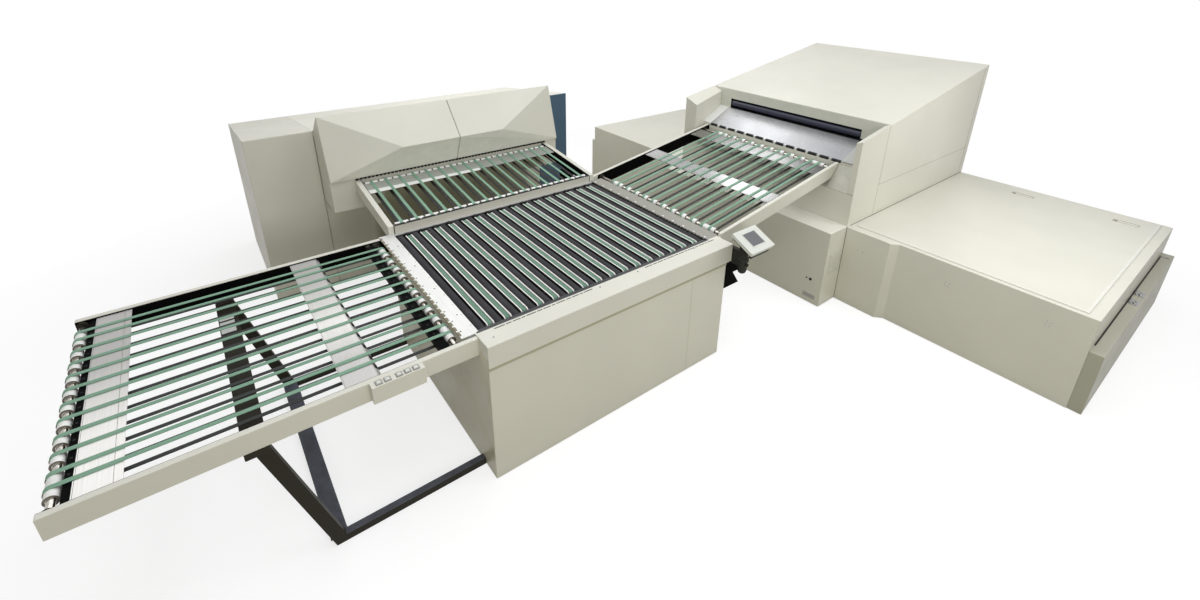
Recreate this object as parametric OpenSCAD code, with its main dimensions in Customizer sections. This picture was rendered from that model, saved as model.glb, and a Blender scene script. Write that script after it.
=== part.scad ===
// Computer-to-plate line: two plate machines joined by belt conveyors through a transfer table.
// Millimetres. X runs along the line, Y to the back, Z up.
// The origin is on the floor under the middle of the transfer table.

/* [Transfer table] */
// Width of the table cabinet along the line
table_w = 1800; // [1620:10:1980]
// Depth of the table cabinet from front to back
table_d = 1532; // [1400:2:1680]
// Height of the closed cabinet below the roller deck
table_box_h = 815; // [760:5:850]
// Height of the walls around the roller deck
deck_wall_h = 75; // [70:1:90]
// Thickness of the walls around the roller deck
deck_wall_t = 26; // [16:1:30]
// Height of the skirt on the front lip
lip_h = 133; // [120:1:150]
// Depth of the top of the front lip behind the skirt
lip_top_d = 146; // [120:2:170]
// Distance the front lip stands in front of the cabinet
lip_out = 6; // [4:1:16]
// Distance the cabinet passes the roller deck on the right
cabinet_right_over = 24; // [14:1:34]
// Distance the front lip passes the roller deck on the right
lip_right_over = 70; // [40:2:80]
// Thickness of the steel transfer plates
transfer_t = 4; // [3:1:6]
// Width of the left transfer plate
left_transfer_w = 98; // [90:1:110]
// Width of the right transfer plate
right_transfer_w = 118; // [100:2:125]

/* [Roller deck] */
// Least spacing of the foam rollers
deck_pitch_min = 105; // [100:1:110]
// Gap between the outer foam rollers and the deck walls
deck_edge_gap = 6; // [3:1:12]
// Diameter of a foam roller
deck_roller_d = 56; // [48:1:60]
// Diameter of a foam roller shaft
deck_shaft_d = 16; // [10:1:20]
// Free length of shaft at each end of a foam roller
deck_shaft_end = 28; // [10:1:40]
// Depth of the foam roller tops below the deck wall tops
deck_roller_drop = 2; // [0:1:6]
// Gap between a belt guide and the foam rollers beside it
guide_gap = 1.5; // [1:0.5:4]
// Width of each side bar of a belt guide
guide_bar_w = 8; // [6:0.5:10]
// Free width beside the deck belt, between it and each side bar
guide_slot = 4.5; // [2:0.5:6]
// Height of the deck belt loop
deck_loop_h = 56; // [40:2:60]
// Height of the guide bars above the deck belt
guide_bar_up = 3; // [1:1:6]
// Free length between a belt guide and the deck walls
guide_end = 30; // [20:2:60]

/* [Belts] */
// Thickness of every belt
belt_t = 3; // [2:0.5:4]
// Width of a conveyor belt
belt_w = 22; // [16:1:28]
// Diameter of a conveyor sleeve
sleeve_d = 50; // [44:1:52]
// Length of a conveyor sleeve
sleeve_l = 60; // [50:2:66]
// Length of a sleeve behind the middle of its belt
sleeve_lead = 14; // [12:1:20]
// Diameter of a conveyor shaft
shaft_d = 28; // [20:1:32]
// Least distance of the outermost belts from the left conveyor rails
belt_margin = 90; // [80:1:100]
// Spacing of the evenly spaced belts
belt_pitch = 109; // [104:1:112]
// Spacing of the outermost belt from the next one
belt_edge_pitch = 76; // [70:1:82]
// Distance of the belt centre line behind the left conveyor centre
belt_shift = 5; // [0:1:10]
// Depth of the conveyor belt tops below the rail tops
belt_drop = 5; // [3:1:10]

/* [Left conveyor] */
// Length of the left conveyor
left_l = 1663; // [1500:1:1800]
// Distance of the left conveyor behind the front of the table
left_front_in = 102; // [90:1:120]
// Distance of the left conveyor in front of the back of the table
left_back_in = 6; // [4:1:12]
// Height of the left conveyor rails
left_rail_h = 104; // [96:1:110]
// Thickness of the conveyor rails
rail_t = 36; // [30:1:40]
// Distance of the end roller axis from the conveyor end
left_end_in = 28; // [28:1:40]
// Distance of the table side roller axis from the table
left_table_in = 102; // [100:1:120]
// Width of the grey cover plates
cover_w = 150; // [130:2:160]
// Distance of the end cover plate from the conveyor end
left_cover_in = 89; // [80:1:110]
// Distance of the middle cover plate from the table
left_cover_mid = 490; // [440:2:520]
// Thickness of the grey cover plates
cover_t = 4; // [3:1:6]
// Gap between a cover plate and the belts above it
cover_gap = 1; // [0.5:0.5:3]
// Width of the black crossbar beside the table side roller
crossbar_w = 50; // [40:1:60]
// Height of the black crossbars beside the rollers
crossbar_h = 38; // [30:1:40]
// Gap between the black crossbars and the belts on the rollers
crossbar_gap = 4; // [2:1:8]
// Overlap of the end crossbar under the end cover plate
crossbar_lap = 4; // [2:1:8]
// Thickness of the black liners inside the conveyor rails
liner_t = 6; // [4:1:10]
// Depth of the black liners below the rail tops
liner_drop = 5; // [3:1:12]

/* [Stand] */
// Height and depth of the stand tubes
stand_tube = 42; // [36:1:48]
// Width of the stand legs along the line
stand_leg_w = 62; // [54:1:70]
// Width of the top crossbar of the stand
stand_top_w = 94; // [80:2:104]
// Height of the top crossbar of the stand
stand_top_h = 34; // [28:1:40]
// Distance of the stand feet from the table
stand_reach = 746; // [700:2:800]
// Distance the stand legs lean away from the table
stand_lean = 220; // [180:2:240]
// Distance of the stand frames from the outer faces of the rails
stand_in = 28; // [20:2:40]

/* [Button box] */
// Length of the button box
button_box_l = 250; // [220:2:270]
// Distance the button box stands in front of the rail
button_box_out = 46; // [36:1:60]
// Height of the button box
button_box_h = 92; // [80:1:100]
// Distance of the button box from the table
button_box_in = 296; // [280:2:330]
// Number of push buttons
buttons_n = 5; // [3:1:5]
// Size of a square push button
button_s = 26; // [20:1:28]
// Height of a push button
button_up = 5; // [3:1:8]
// Spacing of the push buttons
button_pitch = 40; // [36:1:44]
// Number of push buttons in the first group
buttons_first = 2; // [1:1:3]
// Extra distance between the two groups of push buttons
button_split = 14; // [8:1:16]

/* [Right conveyor] */
// Width of the front rail that laps the end of the front lip
right_lap = 22; // [16:1:30]
// Distance of the right conveyor behind the back of the table
right_back_out = 82; // [60:1:90]
// Height of the right conveyor rail tops above the deck walls
right_over_deck = 7; // [4:1:12]
// Depth of the right conveyor end below the steel feed plate
right_feed_step = 11; // [6:1:20]
// Height of the right conveyor rails
right_rail_h = 112; // [104:1:120]
// Distance of the lower roller axis from the table
right_low_in = 130; // [126:1:140]
// Distance of the upper roller axis from the processor front
right_up_in = 72; // [60:1:80]
// Distance of the middle cover plate from the processor front
right_cover_mid = 890; // [800:5:920]
// Distance of the upper cover plate from the processor front
right_cover_up = 285; // [270:2:300]

/* [Back conveyor] */
// Thickness of the back conveyor rails
back_rail_t = 44; // [36:1:50]
// Height of the back conveyor rail tops above the deck walls
back_over_deck = 62; // [50:1:72]
// Depth of the back conveyor end below the hood
back_hood_step = 21; // [12:1:30]
// Height of the back conveyor rails
back_rail_h = 100; // [90:1:110]
// Distance of the roller axes from the ends of the back conveyor
back_roller_in = 50; // [46:1:60]
// Least spacing of the belts on the back conveyor
back_pitch_min = 113; // [108:1:120]
// Least distance of the outer belts from the back conveyor rails
back_belt_margin = 65; // [60:1:80]
// Length of a back conveyor sleeve
back_sleeve_l = 98; // [80:2:104]
// Width of the back conveyor cover plate
back_cover_w = 150; // [130:2:170]
// Thickness of the end plate above the deck
end_plate_t = 18; // [12:1:24]

/* [Operator panel] */
// Width of the operator panel
panel_w = 240; // [220:2:250]
// Depth of the operator panel along its slope
panel_d = 196; // [180:2:210]
// Thickness of the operator panel
panel_t = 26; // [20:1:34]
// Slope of the operator panel towards the front
panel_tilt = 24; // [15:1:32]
// Height of the middle of the operator panel above the front lip
panel_up = 64; // [50:1:76]
// Distance of the panel centre to the right of the cabinet
panel_right = 118; // [110:1:130]
// Distance of the panel centre in front of the cabinet
panel_front = 128; // [110:2:140]
// Diameter of the round panel post
post_d = 64; // [54:1:70]
// Distance of the post axis to the left of the panel centre
post_left = 18; // [10:1:24]
// Distance of the post axis behind the panel centre
post_back = 49; // [40:1:56]
// Depth of the rounded post end below the top of the front lip
post_drop = 176; // [160:2:190]
// Height of the arm between the post and the front lip
arm_h = 120; // [100:2:126]
// Depth of the arm below the front lip
arm_drop = 15; // [10:1:24]
// Length of the bracket under the arm
bracket_l = 181; // [160:1:200]
// Height of the bracket under the front lip
bracket_h = 213; // [200:1:235]
// Height of the knee of the bracket
bracket_knee_h = 106; // [90:1:120]
// Thickness of the bracket
bracket_t = 46; // [36:1:56]

/* [Plate processor] */
// Position of the front of the processor from the table centre
proc_x = 2301; // [2280:1:2340]
// Length of the processor along the line
proc_l = 2253; // [2000:5:2400]
// Distance of the near cheek from the right conveyor
cheek_near_gap = 194; // [180:1:210]
// Distance of the far cheek from the right conveyor
cheek_far_gap = 29; // [20:1:40]
// Height of the processor top at its front
proc_front_z = 1421; // [1380:1:1460]
// Height of the processor top at its back
proc_back_z = 1814; // [1700:2:1860]
// Length of the side cheeks in front of the roof
cheek_l = 422; // [400:2:440]
// Width of the near side cheek
cheek_near_w = 50; // [40:1:60]
// Width of the far side cheek at its front
cheek_w = 150; // [140:1:160]
// Distance the inner face of the far cheek draws back from its front to the roof
cheek_taper = 45; // [30:1:56]
// Fall of the far cheek top towards the inside
cheek_fall = 56; // [40:1:64]
// Height of the front panel under the conveyor end
front_panel_z = 970; // [940:1:1000]
// Rise of the ledge behind the front panel
ledge_rise = 36; // [20:1:50]
// Rise of the aprons beside the right conveyor, from the front panel to the feed edge
apron_rise = 170; // [150:1:180]
// Gap between an apron and the right conveyor
apron_gap = 6; // [3:1:15]
// Depth of the feed front behind the cheeks
feed_in = 144; // [140:1:150]
// Height of the front edge of the steel feed plate
feed_low_z = 1165; // [1160:1:1175]
// Rise of the steel feed plate
feed_rise = 132; // [120:1:140]
// Height of the feed slot above the feed plate
slot_h = 98; // [90:1:104]
// Depth of the feed slot
slot_d = 90; // [84:1:110]
// Distance of the feed slot from the near cheek
slot_near_in = 191; // [170:1:210]
// Distance of the feed slot from the front of the far cheek
slot_far_in = 92; // [80:1:110]
// Spacing of the notches in the feed plate
notch_pitch = 114; // [108:1:116]
// Length of a notch in the front edge of the feed plate
notch_l = 87; // [70:1:92]
// Depth of a notch in the front edge of the feed plate
notch_d = 16; // [8:1:20]
// Distance of the steel side guides from the feed slot
side_guide_gap = 20; // [12:1:30]
// Thickness of the steel side guides on the feed plate
side_guide_t = 8; // [5:1:12]
// Diameter of the dark roller in the feed slot
slot_roller_d = 76; // [60:1:80]
// Depth of the low box in front of the processor
low_box_d = 241; // [220:2:260]
// Height of the low box in front of the processor
low_box_h = 691; // [660:1:710]

/* [Loader cabinet] */
// Width of the loader cabinet beside the processor
loader_w = 1637; // [1500:1:1700]
// Length of the loader cabinet along the line
loader_l = 2235; // [2000:5:2300]
// Height of the loader cabinet below its lid
loader_h = 684; // [640:1:720]
// Distance of the step in the loader front from the processor
loader_step_at = 361; // [320:1:400]
// Depth of the step in the loader front
loader_step = 49; // [40:1:60]
// Thickness of the loader lid
lid_t = 8; // [6:1:12]
// Rim of the loader cabinet left around the lid at the front and back
lid_rim = 36; // [30:1:50]
// Rim of the loader cabinet at the end of the lid
lid_end_rim = 66; // [50:2:90]
// Length of a lid handle recess
handle_l = 165; // [140:1:180]
// Width of a lid handle recess
handle_w = 48; // [40:1:60]
// Distance of the handle recesses from the far edge of the lid
handle_in = 195; // [170:5:220]
// Distance of the first handle recess from the processor side of the lid
handle_first = 510; // [460:5:550]
// Spacing of the handle recesses
handle_pitch = 748; // [700:2:780]
// Depth of the drawer ledge at the loader end
drawer_out = 77; // [60:1:90]
// Height of the drawer ledge at the loader end
drawer_h = 459; // [430:1:480]
// Distance of the drawer behind the loader front
drawer_in = 5; // [2:1:20]
// Distance of the drawer from the far end of the loader
drawer_far_in = 32; // [20:1:50]

/* [Rear box] */
// Depth of the rear box behind the processor
rear_d = 1637; // [1500:1:1700]
// Length of the rear box along the line
rear_l = 1652; // [1500:2:1800]
// Distance of the rear box behind the processor front
rear_in = 38; // [20:1:60]
// Height of the rear box
rear_h = 709; // [680:1:740]
// Height of the wider lower part of the rear box
rear_low_h = 530; // [500:2:560]
// Distance the lower part stands out at the back
rear_low_out = 52; // [30:1:60]

/* [Plate machine] */
// Distance of the left side of the plate machine from the table
plate_left_out = 678; // [650:1:700]
// Width of the left cabinet of the plate machine
plate_left_w = 489; // [460:1:520]
// Width of the middle body of the plate machine beyond the table width
plate_mid_over = 315; // [300:1:330]
// Width of the right tower of the plate machine
plate_right_w = 343; // [320:1:400]
// Position of the front of the plate machine
plate_y = 1888; // [1880:1:1920]
// Depth of the plate machine
plate_d = 1363; // [1200:1:1400]
// Height of the plate machine at its front
plate_front_z = 1421; // [1400:1:1440]
// Fall of the plate machine top to the back
plate_fall = 178; // [140:1:200]
// Distance the middle front lies behind the cabinets
plate_mid_in = 6; // [4:1:10]
// Distance the feed housing stands in front
feed_box_out = 325; // [310:1:340]
// Height of the bottom of the feed housing
feed_box_low_z = 810; // [790:1:830]
// Height of the bottom edge of the hood
hood_low_z = 1071; // [1060:1:1080]
// Distance the hood passes the feed housing at the front
hood_lip = 22; // [10:1:30]
// Distance of the hood crease from the plate machine front
hood_crease_out = 458; // [420:2:480]
// Height of the hood crease
hood_crease_z = 1298; // [1270:1:1330]
// Distance of the hood top edge from the plate machine front
hood_top_out = 208; // [180:2:230]
// Height of the hood top edge
hood_top_z = 1580; // [1540:1:1600]
// Distance of the crease end from the left hood edge
hood_crease_left = 565; // [510:5:600]
// Distance of the crease end from the right hood edge
hood_crease_right = 652; // [580:2:690]
// Distance between the two hood doors
hood_seam = 4; // [2:1:8]
// Thickness of the coloured panel on the right tower
tower_panel_t = 14; // [10:1:20]

/* [Hidden] */
$fn = 40;
cut_over = 20;
half_w = table_w / 2;
cabinet_x1 = half_w + cabinet_right_over;
half_d = table_d / 2;
deck_top_z = table_box_h + deck_wall_h;
lip_over_deck = transfer_t + transfer_t;
lip_top_z = deck_top_z + lip_over_deck;
deck_y0 = lip_top_d - half_d;
deck_y1 = half_d - deck_wall_t;
deck_axis_z = deck_top_z - deck_roller_drop - deck_roller_d / 2;
deck_span = table_w - deck_wall_t - deck_wall_t - deck_edge_gap - deck_edge_gap - deck_roller_d;
deck_rollers_n = floor(deck_span / deck_pitch_min) + 1;
deck_pitch = deck_span / (deck_rollers_n - 1);
guide_w = deck_pitch - deck_roller_d - guide_gap - guide_gap;
deck_first_x = -deck_pitch * (deck_rollers_n - 1) / 2;
guides_n = deck_rollers_n - 1;
guide_first_x = deck_first_x + deck_pitch / 2;
guide_in_w = guide_w - guide_bar_w - guide_bar_w;
deck_belt_w = guide_in_w - guide_slot - guide_slot;
guide_run = deck_y1 - deck_y0 - guide_end - guide_end - deck_loop_h;
deck_belt_r = deck_loop_h / 2 - belt_t;
guide_y0 = deck_y0 + guide_end;
guide_y1 = deck_y1 - guide_end;
guide_axis_z = deck_top_z - guide_bar_up - deck_loop_h / 2;
sleeve_r = sleeve_d / 2;
loop_r = sleeve_r + belt_t;

left_x0 = -half_w - left_l;
left_y0 = left_front_in - half_d;
left_y1 = half_d - left_back_in;
left_top_z = deck_top_z;
left_in_y0 = left_y0 + rail_t;
left_in_y1 = left_y1 - rail_t;
left_low_z = left_top_z - left_rail_h;
left_axis_z = left_top_z - belt_drop - loop_r;
left_axis_a = left_x0 + left_end_in;
left_axis_b = -half_w - left_table_in;
cover_z = left_axis_z + sleeve_r - cover_gap;
belt_mid_y = (left_in_y0 + left_in_y1) / 2 + belt_shift;
belts_span = left_in_y1 - left_in_y0 - belt_margin - belt_margin - belt_edge_pitch - belt_edge_pitch;
belts_mid_n = floor(belts_span / belt_pitch) + 1;
belts_n = belts_mid_n + 2;
belt_half = belt_pitch * (belts_mid_n - 1) / 2;

right_x0 = half_w;
right_rail_x = half_w + lip_right_over;
right_plate_x = half_w + right_transfer_w - deck_wall_t;
right_end_x = proc_x + feed_in;
right_front_y = deck_y0 - right_lap;
right_y1 = half_d + right_back_out;
right_low_z = deck_top_z + right_over_deck;
right_rise = feed_low_z - right_feed_step - right_low_z;
right_in_y0 = right_front_y + rail_t;
right_in_y1 = right_y1 - rail_t;
right_run = right_end_x - right_x0;
right_slope = atan2(right_rise, right_run);
right_share = right_rise / right_run;
right_axis_down = (belt_drop + loop_r) / cos(right_slope);
right_ax = right_x0 + right_low_in;
right_az = right_low_z + right_low_in * right_share - right_axis_down;
right_bx = right_end_x - right_up_in;
right_bz = right_low_z + (right_run - right_up_in) * right_share - right_axis_down;

back_x0 = -half_w;
back_x1 = half_w;
back_low_z = deck_top_z + back_over_deck;
back_rise = hood_low_z - back_hood_step - back_low_z;
back_y0 = half_d;
back_y1 = plate_y - feed_box_out;
back_run = back_y1 - back_y0;
back_slope = atan2(back_rise, back_run);
back_share = back_rise / back_run;
back_axis_down = (belt_drop + loop_r) / cos(back_slope);
back_ay = back_y0 + back_roller_in;
back_az = back_low_z + back_roller_in * back_share - back_axis_down;
back_by = back_y1 - back_roller_in;
back_bz = back_low_z + (back_run - back_roller_in) * back_share - back_axis_down;
back_span = table_w - back_rail_t - back_rail_t - back_belt_margin - back_belt_margin;
back_belts_n = floor(back_span / back_pitch_min) + 1;
back_pitch = back_span / (back_belts_n - 1);
back_first_x = back_x0 + back_rail_t + back_belt_margin;

proc_x1 = proc_x + proc_l;
proc_y = right_front_y - cheek_near_gap - cheek_near_w;
proc_y1 = right_y1 + cheek_far_gap + cheek_w;
proc_in_y0 = proc_y + cheek_near_w;
proc_in_y1 = proc_y1 - cheek_w;
proc_roof_y1 = proc_in_y1 + cheek_taper;
slot_y0 = proc_in_y0 + slot_near_in;
slot_y1 = proc_in_y1 - slot_far_in;
slot_mid_y = (slot_y0 + slot_y1) / 2;
notches_n = floor((slot_y1 - slot_y0) / notch_pitch) + 1;
roof_x = proc_x + cheek_l;
roof_share = (proc_back_z - proc_front_z) / proc_l;
roof_z = proc_front_z + cheek_l * roof_share;
roof_slope = atan(roof_share);
feed_x = proc_x + feed_in;
feed_top_z = feed_low_z + feed_rise;
loader_y1 = proc_y;
loader_y0 = loader_y1 - loader_w;
rear_x0 = proc_x + rear_in;

plate_x = -half_w - plate_left_out;
plate_mid_w = table_w + plate_mid_over;
plate_x1 = plate_x + plate_left_w;
plate_x2 = plate_x1 + plate_mid_w;
plate_x3 = plate_x2 + plate_right_w;
plate_back_y = plate_y + plate_d;
plate_back_z = plate_front_z - plate_fall;
hood_x0 = plate_x1 + hood_seam;
hood_x1 = plate_x2 - hood_seam;
hood_mid_x = (hood_x0 + hood_x1) / 2;

panel_x = half_w + panel_right;
panel_y = -half_d - panel_front;
panel_z = lip_top_z + panel_up;
post_x = panel_x - post_left;
post_y = panel_y + post_back;
post_low_z = lip_top_z - post_drop;
lip_low_z = lip_top_z - lip_h;
lip_end_x = half_w + lip_right_over;
bracket_x1 = half_w + bracket_l;
bracket_knee_share = 0.34;
bracket_knee_x = lip_end_x + (bracket_x1 - lip_end_x) * bracket_knee_share;
bracket_knee_z = lip_low_z - bracket_h + bracket_knee_h;

cream = [0.80, 0.79, 0.75];
steel = [0.72, 0.73, 0.74];
green = [0.44, 0.65, 0.54];
black = [0.16, 0.16, 0.17];
white = [0.92, 0.92, 0.90];
grey = [0.62, 0.62, 0.62];
blue = [0.26, 0.36, 0.44];

// A plain block between two corners
module block(a, b) {
    translate(a) cube([b[0] - a[0], b[1] - a[1], b[2] - a[2]]);
}

// A slab with a side outline in X and Z, between two Y positions
module side_slab(y0, y1, outline) {
    translate([0, y1, 0]) rotate([90, 0, 0]) linear_extrude(height = y1 - y0) polygon(outline);
}

// A slab with an end outline in Y and Z, between two X positions
module end_slab(x0, x1, outline) {
    translate([x0, 0, 0]) rotate([90, 0, 90]) linear_extrude(height = x1 - x0) polygon(outline);
}

// A round bar along Y
module bar_y(x, z, y0, y1, d) {
    translate([x, y1, z]) rotate([90, 0, 0]) cylinder(h = y1 - y0, d = d);
}

// A round bar along X
module bar_x(y, z, x0, x1, d) {
    translate([x0, y, z]) rotate([0, 90, 0]) cylinder(h = x1 - x0, d = d);
}

// A rounded loop outline of a given run and radius
module loop_outline(run, r) {
    circle(r = r);
    translate([run, 0]) circle(r = r);
    translate([0, -r]) square([run, r + r]);
}

// A belt loop along X with its first axis at the origin
module loop_x(run, r, w) {
    translate([0, w / 2, 0]) rotate([90, 0, 0]) linear_extrude(height = w) difference() {
        loop_outline(run, r + belt_t);
        loop_outline(run, r);
    }
}

// A belt loop along Y with its first axis at the origin
module loop_y(run, r, w) {
    translate([-w / 2, 0, 0]) rotate([90, 0, 90]) linear_extrude(height = w) difference() {
        loop_outline(run, r + belt_t);
        loop_outline(run, r);
    }
}

// The Y position of a side conveyor belt
function belt_y(i) = belt_mid_y + (i == 0 ? -belt_half - belt_edge_pitch
    : i == belts_n - 1 ? belt_half + belt_edge_pitch
    : -belt_half + (i - 1) * belt_pitch);

// A shaft with a sleeve under every belt, joined under each outermost pair
module sleeve_roller(x, z, y0, y1) {
    bar_y(x, z, y0, y1, shaft_d);
    for (i = [0 : belts_n - 1])
        bar_y(x, z, belt_y(i) + sleeve_lead - sleeve_l, belt_y(i) + sleeve_lead, sleeve_d);
    for (i = [0, belts_n - 2]) bar_y(x, z, belt_y(i), belt_y(i + 1), sleeve_d);
}

module table_cabinet() {
    color(cream) block([-half_w, -half_d, 0], [cabinet_x1, half_d, table_box_h]);
}

module table_front_lip() {
    color(cream) difference() {
        block([-half_w, -half_d - lip_out, lip_top_z - lip_h],
            [half_w + lip_right_over, deck_y0, lip_top_z]);
        block([-half_w - cut_over, -half_d, lip_top_z - lip_h - cut_over],
            [cabinet_x1, half_d, table_box_h]);
    }
}

module deck_walls() {
    color(steel) difference() {
        block([-half_w, deck_y0, table_box_h], [half_w, half_d, deck_top_z]);
        block([deck_wall_t - half_w, deck_y0 - cut_over, table_box_h - cut_over],
            [half_w - deck_wall_t, deck_y1, deck_top_z + cut_over]);
    }
}

module left_transfer_plate() {
    color(steel) block([deck_wall_t - half_w - left_transfer_w, deck_y0, deck_top_z],
        [deck_wall_t - half_w, half_d, deck_top_z + transfer_t]);
}

module right_transfer_plate() {
    color(steel) block([half_w - deck_wall_t, deck_y0, deck_top_z],
        [half_w - deck_wall_t + right_transfer_w, half_d, deck_top_z + transfer_t]);
}

module deck_rollers() {
    color(black) for (i = [0 : deck_rollers_n - 1]) {
        bar_y(deck_first_x + i * deck_pitch, deck_axis_z, deck_y0, deck_y1, deck_shaft_d);
        bar_y(deck_first_x + i * deck_pitch, deck_axis_z, deck_y0 + deck_shaft_end,
            deck_y1 - deck_shaft_end, deck_roller_d);
    }
}

// A guide outline in Y and Z about the front axis of its belt loop
module guide_outline(r) {
    loop_outline(guide_run, r);
    translate([0, table_box_h - guide_axis_z]) square([guide_run, guide_axis_z - table_box_h]);
}

// Two side bars that round down at their ends, with the carrier of the belt between them
module guide_unit(x) {
    translate([x - guide_w / 2, guide_y0 + deck_loop_h / 2, guide_axis_z]) rotate([90, 0, 90]) {
        linear_extrude(height = guide_bar_w) guide_outline(deck_loop_h / 2 + guide_bar_up);
        translate([0, 0, guide_w - guide_bar_w])
            linear_extrude(height = guide_bar_w) guide_outline(deck_loop_h / 2 + guide_bar_up);
        linear_extrude(height = guide_w) loop_outline(guide_run, deck_belt_r);
    }
}

module belt_guides() {
    color(white) for (i = [0 : guides_n - 1]) guide_unit(guide_first_x + i * deck_pitch);
}

module deck_belts() {
    color(green) for (i = [0 : guides_n - 1])
        translate([guide_first_x + i * deck_pitch, guide_y0 + deck_loop_h / 2, guide_axis_z])
        loop_y(guide_run, deck_belt_r, deck_belt_w);
}

module left_front_rail() {
    color(cream) block([left_x0, left_y0, left_low_z], [-half_w, left_in_y0 - liner_t, left_top_z]);
}

module left_back_rail() {
    color(cream) block([left_x0, left_in_y1 + liner_t, left_low_z], [-half_w, left_y1, left_top_z]);
}

module left_liners() {
    color(black) {
        block([left_x0, left_in_y0 - liner_t, left_low_z], [-half_w, left_in_y0, left_top_z - liner_drop]);
        block([left_x0, left_in_y1, left_low_z], [-half_w, left_in_y1 + liner_t, left_top_z - liner_drop]);
    }
}

module left_cover(x) {
    block([x, left_in_y0, cover_z - cover_t], [x + cover_w, left_in_y1, cover_z]);
}

module left_end_cover() {
    color(grey) left_cover(left_x0 + left_cover_in);
}

module left_middle_cover() {
    color(grey) left_cover(-half_w - left_cover_mid - cover_w);
}

module left_crossbar(x0, x1) {
    block([x0, left_in_y0, cover_z - cover_t - crossbar_h], [x1, left_in_y1, cover_z - cover_t]);
}

module left_end_crossbar() {
    color(black) left_crossbar(left_axis_a + loop_r + crossbar_gap, left_x0 + left_cover_in + crossbar_lap);
}

module left_table_crossbar() {
    color(black) left_crossbar(left_axis_b - loop_r - crossbar_gap - crossbar_w,
        left_axis_b - loop_r - crossbar_gap);
}

module left_end_roller() {
    color(white) sleeve_roller(left_axis_a, left_axis_z, left_in_y0, left_in_y1);
}

module left_table_roller() {
    color(white) sleeve_roller(left_axis_b, left_axis_z, left_in_y0, left_in_y1);
}

module left_belts() {
    color(green) for (i = [0 : belts_n - 1]) translate([left_axis_a, belt_y(i), left_axis_z])
        loop_x(left_axis_b - left_axis_a, sleeve_r, belt_w);
}

module stand_side(y) {
    foot_x = -half_w - stand_reach - stand_leg_w;
    leg_top_z = left_low_z - stand_top_h;
    block([foot_x, y, 0], [-half_w, y + stand_tube, stand_tube]);
    side_slab(y, y + stand_tube, [
        [foot_x, 0],
        [foot_x + stand_leg_w, 0],
        [foot_x + stand_leg_w - stand_lean, leg_top_z],
        [foot_x - stand_lean, leg_top_z]]);
}

module left_stand() {
    foot_x = -half_w - stand_reach - stand_leg_w;
    top_x1 = foot_x + stand_leg_w - stand_lean;
    color(black) {
        stand_side(left_y0 + stand_in);
        stand_side(left_y1 - stand_in - stand_tube);
        block([foot_x, left_y0 + stand_in, 0], [foot_x + stand_leg_w, left_y1 - stand_in, stand_tube]);
        block([top_x1 - stand_top_w, left_y0, left_low_z - stand_top_h], [top_x1, left_y1, left_low_z]);
    }
}

// The X position of the middle of a push button
function button_x(i) = -half_w - button_box_in - button_box_l / 2
    + (i - (buttons_n - 1) / 2) * button_pitch
    + (i < buttons_first ? -button_split / 2 : button_split / 2);

module button_box() {
    color(cream) block([-half_w - button_box_in - button_box_l, left_y0 - button_box_out,
        left_top_z - button_box_h], [-half_w - button_box_in, left_y0, left_top_z]);
    color(grey) for (i = [0 : buttons_n - 1])
        translate([button_x(i) - button_s / 2, left_y0 - button_box_out / 2 - button_s / 2, left_top_z])
        cube([button_s, button_s, button_up]);
}

// Height of the right rail tops at an X position
function right_top_z(x) = right_low_z + (x - right_x0) * right_share;

module right_front_rail() {
    color(cream) side_slab(right_front_y, right_in_y0 - liner_t, [
        [right_rail_x, right_top_z(right_rail_x) - right_rail_h],
        [right_end_x, right_top_z(right_end_x) - right_rail_h],
        [right_end_x, right_top_z(right_end_x)],
        [right_plate_x, right_top_z(right_plate_x)],
        [right_plate_x, deck_top_z],
        [right_rail_x, deck_top_z]]);
}

module right_back_rail() {
    color(cream) side_slab(right_in_y1 + liner_t, right_y1, [
        [right_x0, right_low_z - right_rail_h],
        [right_end_x, right_top_z(right_end_x) - right_rail_h],
        [right_end_x, right_top_z(right_end_x)],
        [right_x0, right_low_z]]);
}

module right_liner(y) {
    side_slab(y, y + liner_t, [
        [right_plate_x, right_top_z(right_plate_x) - right_rail_h],
        [right_end_x, right_top_z(right_end_x) - right_rail_h],
        [right_end_x, right_top_z(right_end_x) - liner_drop],
        [right_plate_x, right_top_z(right_plate_x) - liner_drop]]);
}

module right_liners() {
    color(black) {
        right_liner(right_in_y0 - liner_t);
        right_liner(right_in_y1);
    }
}

module right_cover(x) {
    side_slab(right_in_y0, right_in_y1, [
        [x, right_cover_z(x) - cover_t],
        [x + cover_w, right_cover_z(x + cover_w) - cover_t],
        [x + cover_w, right_cover_z(x + cover_w)],
        [x, right_cover_z(x)]]);
}

// Height of a right cover plate at an X position
function right_cover_z(x) = right_az + (x - right_ax) * right_share
    + (sleeve_r - cover_gap) / cos(right_slope);

module right_covers() {
    color(grey) {
        right_cover(right_end_x - right_cover_mid);
        right_cover(right_end_x - right_cover_up);
    }
}

module right_lower_roller() {
    color(white) sleeve_roller(right_ax, right_az, right_in_y0, right_in_y1);
}

module right_upper_roller() {
    color(white) sleeve_roller(right_bx, right_bz, right_in_y0, right_in_y1);
}

module right_belts() {
    color(green) for (i = [0 : belts_n - 1]) translate([right_ax, belt_y(i), right_az])
        rotate([0, -right_slope, 0])
        loop_x((right_bx - right_ax) / cos(right_slope), sleeve_r, belt_w);
}

module back_rail(x0, x1, drop) {
    end_slab(x0, x1, [
        [back_y0, back_low_z - back_rail_h],
        [back_y1, back_low_z + back_rise - back_rail_h],
        [back_y1, back_low_z + back_rise - drop],
        [back_y0, back_low_z - drop]]);
}

module back_left_rail() {
    color(cream) back_rail(back_x0, back_x0 + back_rail_t - liner_t, 0);
}

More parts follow.
